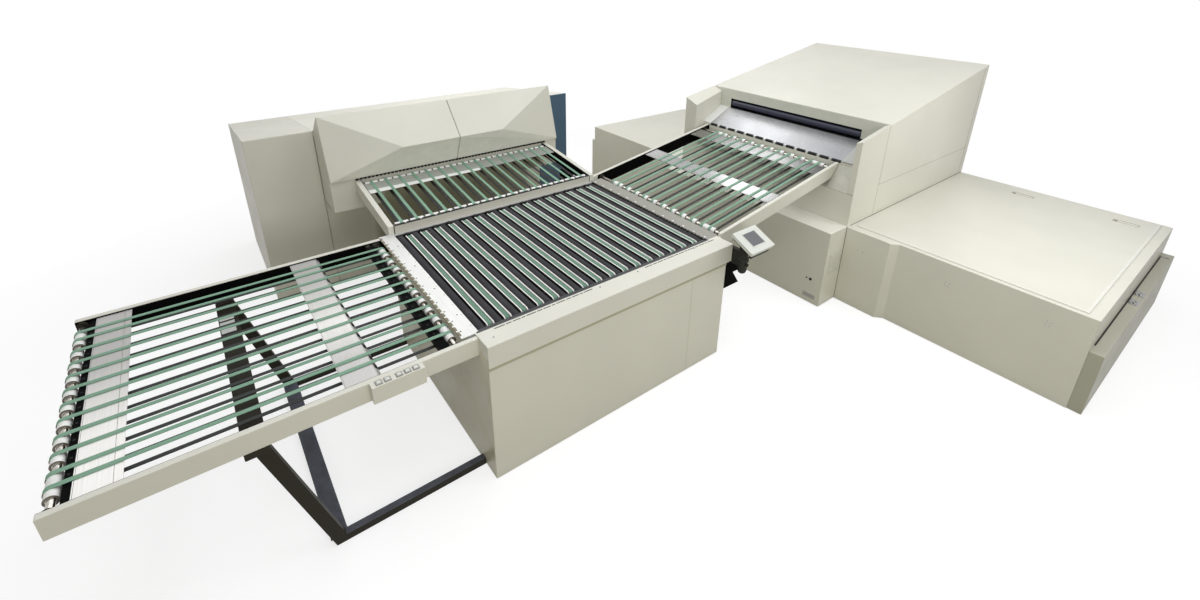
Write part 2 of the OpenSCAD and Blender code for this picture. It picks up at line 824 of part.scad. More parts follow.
module back_right_rail() {
    color(cream) back_rail(back_x1 - back_rail_t + liner_t, back_x1, 0);
}

module back_liners() {
    color(black) {
        back_rail(back_x0 + back_rail_t - liner_t, back_x0 + back_rail_t, liner_drop);
        back_rail(back_x1 - back_rail_t, back_x1 - back_rail_t + liner_t, liner_drop);
    }
}

module back_end_plate() {
    color(cream) block([back_x0 + back_rail_t, back_y0, back_low_z - back_rail_h],
        [back_x1 - back_rail_t, back_y0 + end_plate_t, back_low_z]);
}

// Height of the back cover plate at a Y position
function back_cover_z(y) = back_az + (y - back_ay) * back_share + (sleeve_r - cover_gap) / cos(back_slope);

module back_cover() {
    color(grey) end_slab(back_x0 + back_rail_t, back_x1 - back_rail_t, [
        [back_by - loop_r - back_cover_w, back_cover_z(back_by - loop_r - back_cover_w) - cover_t],
        [back_by - loop_r, back_cover_z(back_by - loop_r) - cover_t],
        [back_by - loop_r, back_cover_z(back_by - loop_r)],
        [back_by - loop_r - back_cover_w, back_cover_z(back_by - loop_r - back_cover_w)]]);
}

module back_roller(y, z) {
    bar_x(y, z, back_x0 + back_rail_t, back_x1 - back_rail_t, shaft_d);
    for (i = [0 : back_belts_n - 1])
        bar_x(y, z, back_first_x + i * back_pitch - back_sleeve_l / 2,
            back_first_x + i * back_pitch + back_sleeve_l / 2, sleeve_d);
}

module back_lower_roller() {
    color(white) back_roller(back_ay, back_az);
}

module back_upper_roller() {
    color(white) back_roller(back_by, back_bz);
}

module back_belts() {
    color(green) for (i = [0 : back_belts_n - 1])
        translate([back_first_x + i * back_pitch, back_ay, back_az]) rotate([back_slope, 0, 0])
        loop_y((back_by - back_ay) / cos(back_slope), sleeve_r, belt_w);
}

module operator_panel() {
    color(cream) translate([panel_x, panel_y, panel_z]) rotate([panel_tilt, 0, 0])
        translate([-panel_w / 2, -panel_d / 2, -panel_t / 2]) cube([panel_w, panel_d, panel_t]);
}

module panel_post() {
    color(black) {
        difference() {
            translate([post_x, post_y, post_low_z]) cylinder(h = panel_z - post_low_z + panel_d, d = post_d);
            translate([panel_x, panel_y, panel_z]) rotate([panel_tilt, 0, 0])
                translate([-panel_w, -panel_d, -panel_t / 2])
                cube([panel_w + panel_w, panel_d + panel_d, panel_z]);
        }
        translate([post_x, post_y, post_low_z]) sphere(d = post_d);
        block([lip_end_x, post_y, lip_low_z - arm_drop],
            [post_x, bracket_t / 2 - half_d, lip_low_z - arm_drop + arm_h]);
        side_slab(-half_d, bracket_t - half_d, [
            [cabinet_x1, lip_low_z - bracket_h],
            [bracket_x1, lip_low_z - bracket_h],
            [bracket_knee_x, bracket_knee_z],
            [post_x + post_d, bracket_knee_z],
            [post_x + post_d, lip_low_z],
            [cabinet_x1, lip_low_z]]);
    }
}

module processor_body() {
    color(cream) difference() {
        side_slab(proc_y, proc_y1, [[roof_x, 0], [proc_x1, 0], [proc_x1, proc_back_z], [roof_x, roof_z]]);
        block([roof_x - cut_over, slot_y0, feed_top_z], [roof_x + slot_d, slot_y1, feed_top_z + slot_h]);
    }
}

module cheek(y0, y1, low_z) {
    side_slab(y0, y1, [[proc_x, low_z], [roof_x, low_z], [roof_x, roof_z], [proc_x, proc_front_z]]);
}

// A block that bevels a cheek top down to the inside, from the outer top edge
module cheek_bevel(y, fall) {
    translate([proc_x, y, proc_front_z]) rotate([0, -roof_slope, 0]) rotate([fall, 0, 0])
        translate([-cheek_l, -cheek_w - cheek_w, 0])
        cube([cheek_l * 3, cheek_w * 4, cheek_w]);
}

// The space between the cheeks, drawn back along the far cheek
module cheek_space() {
    translate([0, 0, -cut_over]) linear_extrude(height = proc_back_z) polygon([
        [proc_x - cut_over, proc_in_y0],
        [roof_x + cut_over, proc_in_y0],
        [roof_x + cut_over, proc_roof_y1],
        [roof_x, proc_roof_y1],
        [proc_x, proc_in_y1],
        [proc_x - cut_over, proc_in_y1]]);
}

module near_cheek() {
    color(cream) difference() {
        cheek(proc_y, proc_in_y0, front_panel_z);
        cheek_bevel(proc_y, -atan(cheek_fall / cheek_w));
    }
}

module far_cheek() {
    color(cream) difference() {
        cheek(proc_in_y1, proc_y1, 0);
        cheek_space();
        cheek_bevel(proc_y1, atan(cheek_fall / cheek_w));
    }
}

// A sloped apron in front of the feed edge, between two Y positions
module apron(y0, y1) {
    side_slab(y0, y1, [[proc_x, 0], [feed_x, 0], [feed_x, front_panel_z + apron_rise],
        [proc_x, front_panel_z]]);
}

module feed_front() {
    color(cream) {
        difference() {
            intersection() {
                union() {
                    side_slab(proc_in_y0, proc_roof_y1, [[proc_x, 0], [roof_x, 0],
                        [roof_x, feed_top_z - transfer_t], [feed_x, feed_low_z - transfer_t],
                        [feed_x, front_panel_z + ledge_rise], [proc_x, front_panel_z]]);
                    apron(proc_in_y0, right_front_y - apron_gap);
                    apron(right_y1 + apron_gap, proc_in_y1);
                }
                cheek_space();
            }
            feed_notches(notch_d);
        }
        block([proc_x, proc_y, 0], [roof_x, proc_in_y0, front_panel_z]);
    }
}

// The notches in the front edge of the feed plate, cut to a depth below its edge
module feed_notches(depth) {
    for (i = [0 : notches_n - 1])
        translate([feed_x - cut_over, slot_mid_y + (i - (notches_n - 1) / 2) * notch_pitch - notch_l / 2,
            feed_low_z - depth])
        cube([cut_over + notch_d, notch_l, depth + slot_h]);
}

// A sheet over the feed slope between two Y positions and two heights above the slope
module feed_sheet(y0, y1, low, high) {
    intersection() {
        side_slab(y0, y1, [[feed_x, feed_low_z + low], [roof_x, feed_top_z + low],
            [roof_x, feed_top_z + high], [feed_x, feed_low_z + high]]);
        cheek_space();
    }
}

module feed_plate() {
    color(steel) difference() {
        feed_sheet(proc_in_y0, proc_roof_y1, -transfer_t, 0);
        feed_notches(notch_d);
    }
}

module feed_side_guides() {
    color(steel) difference() {
        union() {
            feed_sheet(proc_in_y0, slot_y0 - side_guide_gap, 0, side_guide_t);
            feed_sheet(slot_y1 + side_guide_gap, proc_roof_y1, 0, side_guide_t);
        }
        feed_notches(notch_d);
    }
}

module slot_roller() {
    color(black) bar_y(roof_x + slot_d / 2, feed_top_z + slot_h / 2, slot_y0, slot_y1, slot_roller_d);
}

module low_box() {
    color(cream) block([proc_x - low_box_d, proc_y, 0], [proc_x, proc_y1, low_box_h]);
}

module loader_cabinet() {
    color(cream) linear_extrude(height = loader_h) polygon([
        [proc_x, loader_y1], [proc_x, loader_y1 - loader_step_at],
        [proc_x + loader_step, loader_y1 - loader_step_at - loader_step],
        [proc_x + loader_step, loader_y0], [proc_x + loader_l, loader_y0], [proc_x + loader_l, loader_y1]]);
}

module loader_lid() {
    color(cream) difference() {
        block([proc_x + loader_step + lid_rim, loader_y0 + lid_end_rim, loader_h],
            [proc_x + loader_l - lid_rim, loader_y1 - lid_rim, loader_h + lid_t]);
        for (i = [0 : 1])
            translate([proc_x + loader_l - lid_rim - handle_in - handle_w / 2,
                loader_y1 - lid_rim - handle_first - i * handle_pitch - handle_l, loader_h + lid_t / 2])
            cube([handle_w, handle_l, lid_t]);
    }
}

module loader_drawer() {
    color(cream) block([proc_x + loader_step + drawer_in, loader_y0 - drawer_out, 0],
        [proc_x + loader_l - drawer_far_in, loader_y0, drawer_h]);
}

module rear_box() {
    color(cream) {
        block([rear_x0, proc_y1, 0], [rear_x0 + rear_l, proc_y1 + rear_d, rear_h]);
        block([rear_x0, proc_y1, 0], [rear_x0 + rear_l, proc_y1 + rear_d + rear_low_out, rear_low_h]);
    }
}

module plate_box(x0, x1, front) {
    end_slab(x0, x1, [[plate_y + front, 0], [plate_back_y, 0], [plate_back_y, plate_back_z],
        [plate_y + front, plate_front_z - front * plate_fall / plate_d]]);
}

module plate_left_cabinet() {
    color(cream) plate_box(plate_x, plate_x1, 0);
}

module plate_body() {
    color(cream) plate_box(plate_x1, plate_x2, plate_mid_in);
}

module plate_feed_housing() {
    color(cream) block([hood_x0, plate_y - feed_box_out, feed_box_low_z],
        [hood_x1, plate_y + plate_mid_in, hood_low_z]);
}

module hood_half(x0, xk, x1) {
    front = plate_y + plate_mid_in;
    top_back_z = plate_front_z - plate_mid_in * plate_fall / plate_d;
    polyhedron(points = [
        [x0, plate_y - hood_top_out, hood_top_z],
        [x0, plate_y - feed_box_out - hood_lip, hood_low_z],
        [xk, plate_y - hood_crease_out, hood_crease_z],
        [x1, plate_y - hood_top_out, hood_top_z],
        [x1, plate_y - feed_box_out - hood_lip, hood_low_z],
        [x1, plate_y - hood_crease_out, hood_crease_z],
        [x0, front, top_back_z],
        [x0, front, hood_low_z],
        [x1, front, top_back_z],
        [x1, front, hood_low_z]],
        faces = [[0, 2, 1], [0, 3, 5, 2], [1, 2, 5, 4], [0, 6, 8, 3],
            [1, 4, 9, 7], [6, 7, 9, 8], [0, 1, 7, 6], [3, 8, 9, 4, 5]]);
}

module hood_left() {
    color(cream) hood_half(hood_x0, hood_x0 + hood_crease_left, hood_mid_x - hood_seam / 2);
}

module hood_right() {
    color(cream) translate([hood_mid_x + hood_mid_x, 0, 0]) mirror([1, 0, 0])
        hood_half(hood_x0, hood_x0 + hood_crease_right, hood_mid_x - hood_seam / 2);
}

module plate_tower() {
    color(cream) plate_box(plate_x2, plate_x3, tower_panel_t);
}

module tower_panel() {
    color(blue) block([plate_x2, plate_y, 0], [plate_x3, plate_y + tower_panel_t,
        plate_front_z - tower_panel_t * plate_fall / plate_d]);
}

table_cabinet();
table_front_lip();
deck_walls();
left_transfer_plate();
right_transfer_plate();
deck_rollers();
belt_guides();
deck_belts();
left_front_rail();
left_back_rail();
left_liners();
left_end_cover();
left_middle_cover();
left_end_crossbar();
left_table_crossbar();
left_end_roller();
left_table_roller();
left_belts();
left_stand();
button_box();
right_front_rail();
right_back_rail();
right_liners();
right_covers();
right_lower_roller();
right_upper_roller();
right_belts();
back_left_rail();
back_right_rail();
back_liners();
back_end_plate();
back_cover();
back_lower_roller();
back_upper_roller();
back_belts();
operator_panel();
panel_post();
processor_body();
near_cheek();
far_cheek();
feed_front();
feed_plate();
feed_side_guides();
slot_roller();
low_box();
loader_cabinet();
loader_lid();
loader_drawer();
rear_box();
plate_left_cabinet();
plate_body();
plate_feed_housing();
hood_left();
hood_right();
plate_tower();
tower_panel();
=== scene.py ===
import math
from collections import namedtuple
from itertools import cycle

import bmesh
import bpy
from mathutils import Matrix, Vector


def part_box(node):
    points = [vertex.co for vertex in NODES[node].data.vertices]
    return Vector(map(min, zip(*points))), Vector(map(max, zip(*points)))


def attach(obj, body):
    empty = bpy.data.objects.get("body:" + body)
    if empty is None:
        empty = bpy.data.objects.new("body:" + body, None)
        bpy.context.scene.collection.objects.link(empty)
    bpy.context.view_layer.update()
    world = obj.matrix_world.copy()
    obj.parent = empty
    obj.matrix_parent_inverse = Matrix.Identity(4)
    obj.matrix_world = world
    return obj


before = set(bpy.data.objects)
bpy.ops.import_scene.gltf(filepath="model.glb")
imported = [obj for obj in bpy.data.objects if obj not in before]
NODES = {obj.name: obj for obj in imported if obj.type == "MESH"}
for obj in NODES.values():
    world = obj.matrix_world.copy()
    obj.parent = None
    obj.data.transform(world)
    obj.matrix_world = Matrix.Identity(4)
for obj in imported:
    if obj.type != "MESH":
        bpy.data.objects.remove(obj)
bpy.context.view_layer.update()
scene = bpy.context.scene
scene.view_settings.view_transform = "Standard"

# camera at the photograph's view: angles in radians, eye in metres, lens in pixels
YAW = 0.6542
PITCH = 0.3704
ROLL = 0.0119
EYE = Vector((-1.8313, -2.8909, 2.697))
FOCAL_PX = 548.705
PRINCIPAL_U = 599.6
PRINCIPAL_V = 177.24
FRAME_W = 1200.0
FRAME_H = 600.0
SENSOR_MM = 36.0
CLIP_END = 200

# directions
UP = (0, 0, 1)
TO_LEFT = (-1, 0, 0)
TO_FRONT = (0, -1, 0)
TO_BACK = (0, 1, 0)


Point = namedtuple("Point", "x y z")


def corners(node):
    """Lowest and highest corner of a CAD node, to the micrometre."""
    return [Point(*(round(v, 6) for v in corner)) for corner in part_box(node)]


def middle(node):
    """Middle of a CAD node's box."""
    lo, hi = corners(node)
    return Point(*((a + b) / 2 for a, b in zip(lo, hi)))


def about(mid, half):
    """Span that reaches half to both sides of mid."""
    return mid - half, mid + half


def near(place, low, high):
    """Span given by two offsets from a place."""
    return place + low, place + high


def row(start, pitch, count):
    """Places in a row, a pitch apart."""
    return [start + i * pitch for i in range(count)]


# transfer table, in metres, read from the CAD nodes
TABLE_LO, TABLE_HI = corners("table_cabinet")
LIP_LO, LIP_HI = corners("table_front_lip")
WALLS_LO, WALLS_HI = corners("deck_walls")
ROLLS_LO, ROLLS_HI = corners("deck_rollers")
PLATE_LO, PLATE_HI = corners("left_transfer_plate")
FRONT_Y = TABLE_LO.y
HALF_W = WALLS_HI.x
DECK_HALF = -PLATE_HI.x
DECK_X = (-DECK_HALF, DECK_HALF)
DECK_Y0 = ROLLS_LO.y
DECK_Y1 = ROLLS_HI.y
DECK_FLOOR = WALLS_LO.z
DECK_TOP = WALLS_HI.z
PLATE_TOP = PLATE_HI.z
LIP_TOP = LIP_HI.z
ROLLERS = 17
ROLLER_R = 0.028
ROLLER_PITCH = (ROLLS_HI.x - ROLLS_LO.x - 2 * ROLLER_R) / (ROLLERS - 1)
ROLLER_X = [(i - (ROLLERS - 1) / 2) * ROLLER_PITCH for i in range(ROLLERS)]
GUIDE_X = [x + ROLLER_PITCH / 2 for x in ROLLER_X[:-1]]

# conveyors: the roller axes carry the belts, and the rails' tops lie square above them
TOP_OVER_AXIS = 0.033
LEFT_A = middle("left_end_roller")
LEFT_B = middle("left_table_roller")
LEFT_IN_Y0, LEFT_IN_Y1 = (corner.y for corner in corners("left_end_roller"))
LEFT_RAIL_TOP = corners("left_front_rail")[1].z
LEFT_COVER_TOP = corners("left_middle_cover")[1].z
RIGHT_A = middle("right_lower_roller")
RIGHT_B = middle("right_upper_roller")
RIGHT_IN_Y0, RIGHT_IN_Y1 = (corner.y for corner in corners("right_lower_roller"))
RIGHT_SLOPE = (RIGHT_B.z - RIGHT_A.z) / (RIGHT_B.x - RIGHT_A.x)
BACK_A = middle("back_lower_roller")
BACK_B = middle("back_upper_roller")
BACK_SLOPE = (BACK_B.z - BACK_A.z) / (BACK_B.y - BACK_A.y)
BELTS = 10
BELT_PITCH = 0.109
END_GAP = 0.076

# processor, low box, loader and plate machine
PROC_LO, PROC_HI = corners("processor_body")
FEED_LO, FEED_HI = corners("feed_plate")
LOW_BOX_LO, LOW_BOX_HI = corners("low_box")
LOADER_LO, LOADER_HI = corners("loader_cabinet")
LID_LO, LID_HI = corners("loader_lid")
PROC_X = corners("feed_front")[0].x
PROC_Y = PROC_LO.y
LOADER_X = PROC_X + 0.049
LEDGE_Z = corners("loader_drawer")[1].z
FEED_Z = corners("feed_side_guides")[0].z
FEED_SLOPE = (FEED_HI.z - FEED_Z) / (FEED_HI.x - FEED_LO.x)


def right_axis(x):
    return RIGHT_A.z + (x - RIGHT_A.x) * RIGHT_SLOPE


def right_top(x):
    return right_axis(x) + TOP_OVER_AXIS * math.hypot(1, RIGHT_SLOPE)


def back_axis(y):
    return BACK_A.z + (y - BACK_A.y) * BACK_SLOPE


def back_top(y):
    return back_axis(y) + TOP_OVER_AXIS * math.hypot(1, BACK_SLOPE)


def belt_rows():
    """Places of the belts across the left conveyor, with the sleeve places beside the first and last."""
    mid = middle("left_belts").y
    half = BELT_PITCH * (BELTS - 1) / 2
    return [mid - half - END_GAP, *row(mid - half, BELT_PITCH, BELTS), mid + half + END_GAP]


BELT_Y = belt_rows()


def make_camera():
    cam = bpy.data.cameras.new("camera")
    obj = bpy.data.objects.new("camera", cam)
    scene.collection.objects.link(obj)
    level = math.cos(PITCH)
    ahead = Vector((math.sin(YAW) * level, math.cos(YAW) * level, -math.sin(PITCH)))
    right = Vector((math.cos(YAW), -math.sin(YAW), 0.0))
    down = ahead.cross(right)
    c, s = math.cos(ROLL), math.sin(ROLL)
    right, down = right * c - down * s, right * s + down * c
    turn = Matrix((right, -down, -ahead)).transposed()
    obj.matrix_world = Matrix.Translation(EYE) @ turn.to_4x4()
    cam.sensor_fit = "HORIZONTAL"
    cam.sensor_width = SENSOR_MM
    cam.lens = FOCAL_PX * SENSOR_MM / FRAME_W
    cam.shift_x = (FRAME_W / 2 - PRINCIPAL_U) / FRAME_W
    cam.shift_y = (PRINCIPAL_V - FRAME_H / 2) / FRAME_W
    cam.clip_end = CLIP_END
    scene.camera = obj


make_camera()


# node trees
def with_alpha(value):
    return (*value, 1) if isinstance(value, tuple) else value


class Nodes:
    """A node tree with short calls for the nodes that are used here."""

    output = "ShaderNodeOutputWorld"

    def __init__(self, tree):
        self.tree = tree
        self.tree.nodes.clear()

    def node(self, kind, **settings):
        made = self.tree.nodes.new(kind)
        for key, value in settings.items():
            setattr(made, key, value)
        return made

    def put(self, socket, value):
        if isinstance(value, bpy.types.NodeSocket):
            self.tree.links.new(value, socket)
        else:
            socket.default_value = value

    def fill(self, kind, *values, **settings):
        """Makes a node, fills its first inputs and gives its first output."""
        made = self.node(kind, **settings)
        for socket, value in zip(made.inputs, values):
            self.put(socket, value)
        return made.outputs[0]

    def named(self, kind, **values):
        """Makes a node, fills the inputs that are named and gives its outputs."""
        made = self.node(kind)
        for name, value in values.items():
            self.put(made.inputs[name], value)
        return made.outputs

    def math(self, operation, *values):
        return self.fill("ShaderNodeMath", *values, operation=operation)

    def times(self, a, b):
        return self.math("MULTIPLY", a, b)

    def minus(self, a, b):
        return self.math("SUBTRACT", a, b)

    def over(self, a, b):
        return self.math("GREATER_THAN", a, b)

    def most(self, a, b):
        return self.math("MAXIMUM", a, b)

    def length(self, a, b):
        """Length of a vector with two parts."""
        return self.math("SQRT", self.math("ADD", self.math("POWER", a, 2.0), self.math("POWER", b, 2.0)))

    def grid(self, x, y, rate):
        """Product of two sine waves, from -1 to 1."""
        return self.times(self.math("SINE", self.times(x, rate)), self.math("SINE", self.times(y, rate)))

    def pick(self, factor, first, second):
        return self.fill("ShaderNodeMixShader", factor, first, second)

    def seen(self):
        """One for the rays that see the white background: from the camera, from gloss and through glass."""
        path = self.node("ShaderNodeLightPath").outputs
        open_rays = self.most(path["Is Camera Ray"], path["Is Glossy Ray"])
        return self.most(open_rays, path["Is Transmission Ray"])

    def finish(self, shader):
        self.put(self.node(self.output).inputs["Surface"], shader)


LOOKS = {}


class Look(Nodes):
    """A material, kept in LOOKS by its name."""

    output = "ShaderNodeOutputMaterial"

    def __init__(self, name):
        material = bpy.data.materials.new(name)
        material.use_nodes = True
        super().__init__(material.node_tree)
        self.where = self.node("ShaderNodeTexCoord").outputs["Object"]
        LOOKS[name] = material

    def xyz(self, vector=None):
        return self.named("ShaderNodeSeparateXYZ", Vector=vector or self.where)

    def facing(self):
        """Parts of the surface's normal."""
        return self.xyz(self.node("ShaderNodeNewGeometry").outputs["Normal"])

    def noise(self, scale, detail=2.0, stretch=None, rough=0.5):
        place = self.where
        if stretch:
            place = self.named("ShaderNodeMapping", Vector=place, Scale=stretch)[0]
        made = self.named("ShaderNodeTexNoise", Vector=place, Scale=scale, Detail=detail, Roughness=rough)
        return made["Fac"]

    def ramp(self, factor, low, high, start=0.3, end=0.7):
        """Colour that goes from low to high."""
        made = self.node("ShaderNodeValToRGB")
        self.put(made.inputs[0], factor)
        for stop, place, colour in zip(made.color_ramp.elements, (start, end), (low, high)):
            stop.position = place
            stop.color = with_alpha(colour)
        return made.outputs[0]

    def level(self, value, start, end, first=0.0, last=1.0):
        """Number that goes from first to last while the value goes from start to end."""
        return self.fill("ShaderNodeMapRange", value, start, end, first, last)

    def mix(self, factor, a, b, blend="MIX"):
        made = self.node("ShaderNodeMix", data_type="RGBA", blend_type=blend)
        for socket, value in zip((made.inputs[0], made.inputs[6], made.inputs[7]), (factor, a, b)):
            self.put(socket, with_alpha(value))
        return made.outputs[2]

    def bump(self, height, strength, distance):
        return self.named("ShaderNodeBump", Strength=strength, Distance=distance, Height=height)[0]

    def shade(self, tone, rough, metal=0.0, normal=None, gloss=0.5):
        values = {"Base Color": tone, "Roughness": rough, "Metallic": metal, "Specular IOR Level": gloss}
        if normal:
            values["Normal"] = normal
        return self.named("ShaderNodeBsdfPrincipled", **values)[0]


# materials
Facing = namedtuple("Facing", "axis start full tone below", defaults=(None,))
PaintedShadeZone = namedtuple("PaintedShadeZone", "x0 x1 top tone")
Fade = namedtuple("Fade", "axis start end first last")


def srgb(*levels):
    """Colour from levels of 0 to 255."""
    return tuple((v / 255 / 12.92) if v <= 10 else ((v / 255 + 0.055) / 1.055) ** 2.4 for v in levels)


def shift(colour, factor):
    return tuple(min(1.0, c * factor) for c in colour)


def along_axis(axis, along, across):
    """Stretch of a noise for lines along X or Y."""
    return {"x": (along, across, across), "y": (across, along, across)}[axis]


def painted(name, base, rough=0.42, peel=0.06, gloss=0.5, facing=None, shade_zone=None):
    """Powder-coated sheet: fine orange peel, soft tone changes, faint scuffs and a darker foot.

    Faces that look along an axis may take a painted light or shade tone, and the front inside a given span
    may take a painted shade tone.
    """
    look = Look(name)
    x, _, z = look.xyz()
    tone = look.ramp(look.noise(1.7, 3), shift(base, 0.965), shift(base, 1.025))
    scuff = look.level(look.noise(26, 5, (1, 1, 3.5), 0.65), 0.66, 0.80)
    tone = look.mix(look.times(scuff, 0.10), tone, shift(base, 0.62))
    foot = look.times(look.level(z, 0.05, 0.0), look.level(look.noise(9, 4), 0.3, 0.7, 0.25, 1.0))
    tone = look.mix(look.times(foot, 0.22), tone, shift(base, 0.55))
    # painted light and shade: faces that look along the given axis take a lighter or darker tone
    if facing:
        turned = look.level(look.facing()[facing.axis], facing.start, facing.full)
        painted_light_share = look.times(turned, look.level(look.noise(14, 4), 0.25, 0.75, 0.55, 1.0))
        if facing.below:
            painted_light_share = look.times(painted_light_share, look.level(z, facing.below, facing.below - 0.05))
        tone = look.mix(painted_light_share, tone, facing.tone)
    # painted shade: the front inside the given span takes a darker tone
    if shade_zone:
        soft = 0.03
        inside = look.times(look.level(x, *about(shade_zone.x0, soft)), look.level(x, *about(shade_zone.x1, -soft)))
        inside = look.times(inside, look.level(z, *about(shade_zone.top, -soft)))
        front = look.level(look.facing()["Y"], -0.5, -0.9)
        tone = look.mix(look.times(inside, front), tone, shade_zone.tone)
    normal = look.bump(look.noise(650, 2), peel, 0.0006)
    spread = look.level(look.noise(5, 3), 0.3, 0.7, rough - 0.05, rough + 0.07)
    look.finish(look.shade(tone, spread, 0.0, normal, gloss))


def brushed(name, base, axis, rough=0.32, metal=1.0, spots=0.0, painted_light_fades=()):
    """Sheet metal with brush lines along one axis, faint smears and flecks, and painted light and shade
    that change along an axis.
    """
    look = Look(name)
    line = look.noise(1.0, 3, along_axis(axis, 3, 420), 0.6)
    tone = look.ramp(line, shift(base, 0.88), shift(base, 1.06), 0.25, 0.75)
    smear = look.noise(3.2, 4, None, 0.6)
    tone = look.mix(look.times(look.level(smear, 0.35, 0.7), 0.20), tone, shift(base, 0.80))
    if spots:
        fleck = look.level(look.noise(150, 3, None, 0.7), 0.60, 0.72)
        tone = look.mix(look.times(fleck, spots), tone, shift(base, 0.55))
    # painted highlight and shade: the tone is scaled up or down along an axis
    for fade_axis, *levels in painted_light_fades:
        tone = look.mix(1.0, tone, look.level(look.xyz()[fade_axis], *levels), "MULTIPLY")
    spread = look.math("ADD", look.level(line, 0.2, 0.8, rough - 0.07, rough + 0.07),
                       look.level(smear, 0.3, 0.7, -0.03, 0.05))
    look.finish(look.shade(tone, spread, metal, look.bump(line, 0.05, 0.0004)))


def belt(name, axis, slope, axis_z, groove=False):
    """Belt with a green outer face, a dark inner face and a fine weave.

    The outer face looks away from the plane of the roller axes, which rises by slope along the axis
    from axis_z at the origin. A belt in the grooves of the deck is darker and flecked.
    """
    look = Look(name)
    x, y, z = look.xyz()
    nx, ny, nz = look.facing()
    run, run_normal, side_normal = {"x": (x, nx, ny), "y": (y, ny, nx)}[axis]
    rise = look.minus(look.minus(z, look.times(run, slope)), axis_z)
    outward = look.minus(nz, look.times(run_normal, slope))
    outer = look.over(look.times(rise, outward), 0.0004)
    side = look.over(look.math("ABSOLUTE", side_normal), 0.7)
    outer = look.most(outer, look.times(side, look.over(rise, 0.015)))
    green = srgb(102, 143, 119) if groove else srgb(126, 165, 140)
    line = look.noise(1.0, 3, along_axis(axis, 6, 300), 0.6)
    tone = look.ramp(line, shift(green, 0.80), shift(green, 1.10), 0.25, 0.75)
    worn = look.level(look.noise(4, 4), 0.45, 0.75)
    tone = look.mix(look.times(worn, 0.35), tone, shift(green, 0.70))
    weave = look.grid(x, y, 2600)
    tone = look.mix(look.level(weave, -1, 1, 0.0, 0.16), tone, shift(green, 0.66))
    if groove:
        fleck = look.level(look.noise(210, 3, (1, 0.35, 1), 0.7), 0.50, 0.66)
        tone = look.mix(look.times(fleck, 0.55), tone, srgb(52, 78, 68))
    tone = look.mix(outer, srgb(34, 37, 36), tone)
    look.finish(look.shade(tone, 0.62, 0.0, look.bump(weave, 0.12, 0.0005)))


def sleeved(name, axis, mid):
    """White sleeves on a bright steel shaft, told apart by the distance from the roller's axis; the
    sleeves' end faces carry painted shade.
    """
    between = 0.0165
    look = Look(name)
    x, y, z = look.xyz()
    nx, ny, _ = look.facing()
    across, end_normal = {"x": (look.minus(y, mid.y), nx), "y": (look.minus(x, mid.x), ny)}[axis]
    dist = look.length(across, look.minus(z, mid.z))
    white = srgb(246, 246, 242)
    tone = look.ramp(look.noise(22, 4), shift(white, 0.86), white)
    wear = look.level(look.noise(1.0, 3, along_axis(axis, 260, 40), 0.6), 0.58, 0.75)
    tone = look.mix(look.times(wear, 0.22), tone, srgb(176, 174, 166))
    # painted shade: the end faces of the sleeves, facing along the axis, are darkened
    end = look.level(look.math("ABSOLUTE", end_normal), 0.6, 0.9)
    tone = look.mix(end, tone, srgb(118, 112, 102))
    sleeve = look.shade(tone, 0.38, 0.0, look.bump(look.noise(300, 2), 0.05, 0.0004))
    line = look.noise(1.0, 2, along_axis(axis, 700, 60))
    shaft = look.shade(look.ramp(line, srgb(150, 146, 138), srgb(206, 203, 196)), 0.24, 1.0)
    look.finish(look.pick(look.over(dist, between), shaft, sleeve))


def foam(name):
    """Dark foam sleeve with open pores and a faint nap."""
    look = Look(name)
    pore = look.named("ShaderNodeTexVoronoi", Vector=look.where, Scale=240)
    grain = look.noise(420, 3, None, 0.7)
    tone = look.ramp(grain, srgb(34, 33, 35), srgb(74, 72, 75), 0.28, 0.72)
    tone = look.mix(look.level(pore["Distance"], 0.10, 0.45, 0.45, 0.0), tone, srgb(38, 38, 40))
    nap = look.level(look.noise(6, 3), 0.4, 0.7)
    tone = look.mix(look.times(nap, 0.30), tone, srgb(84, 82, 84))
    look.finish(look.shade(tone, 0.88, 0.0, look.bump(grain, 0.5, 0.0012), 0.2))


def guide_bar(name):
    """White side bars on a dark belt carrier, told apart by the place across the guide; the bars' outer
    sides carry painted shade in the carrier's tone.
    """
    carrier_half = 0.0148
    bar_half = 0.0200
    bar_z = DECK_FLOOR + 0.020
    look = Look(name)
    x, _, z = look.xyz()
    cell = look.math("FRACT", look.math("DIVIDE", look.minus(x, ROLLER_X[0]), ROLLER_PITCH))
    off = look.times(look.math("ABSOLUTE", look.minus(cell, 0.5)), ROLLER_PITCH)
    bar = look.times(look.over(off, carrier_half), look.over(z, bar_z))
    # painted shade: the outer sides of the bars keep the carrier's dark tone
    shown = look.most(look.over(look.facing()["Z"], 0.30), look.math("LESS_THAN", off, bar_half))
    white = srgb(242, 240, 235)
    tone = look.ramp(look.noise(40, 4), shift(white, 0.84), white)
    tone = look.mix(look.times(bar, shown), srgb(26, 27, 28), tone)
    look.finish(look.shade(tone, 0.40, 0.0, look.bump(look.noise(500, 2), 0.06, 0.0004)))


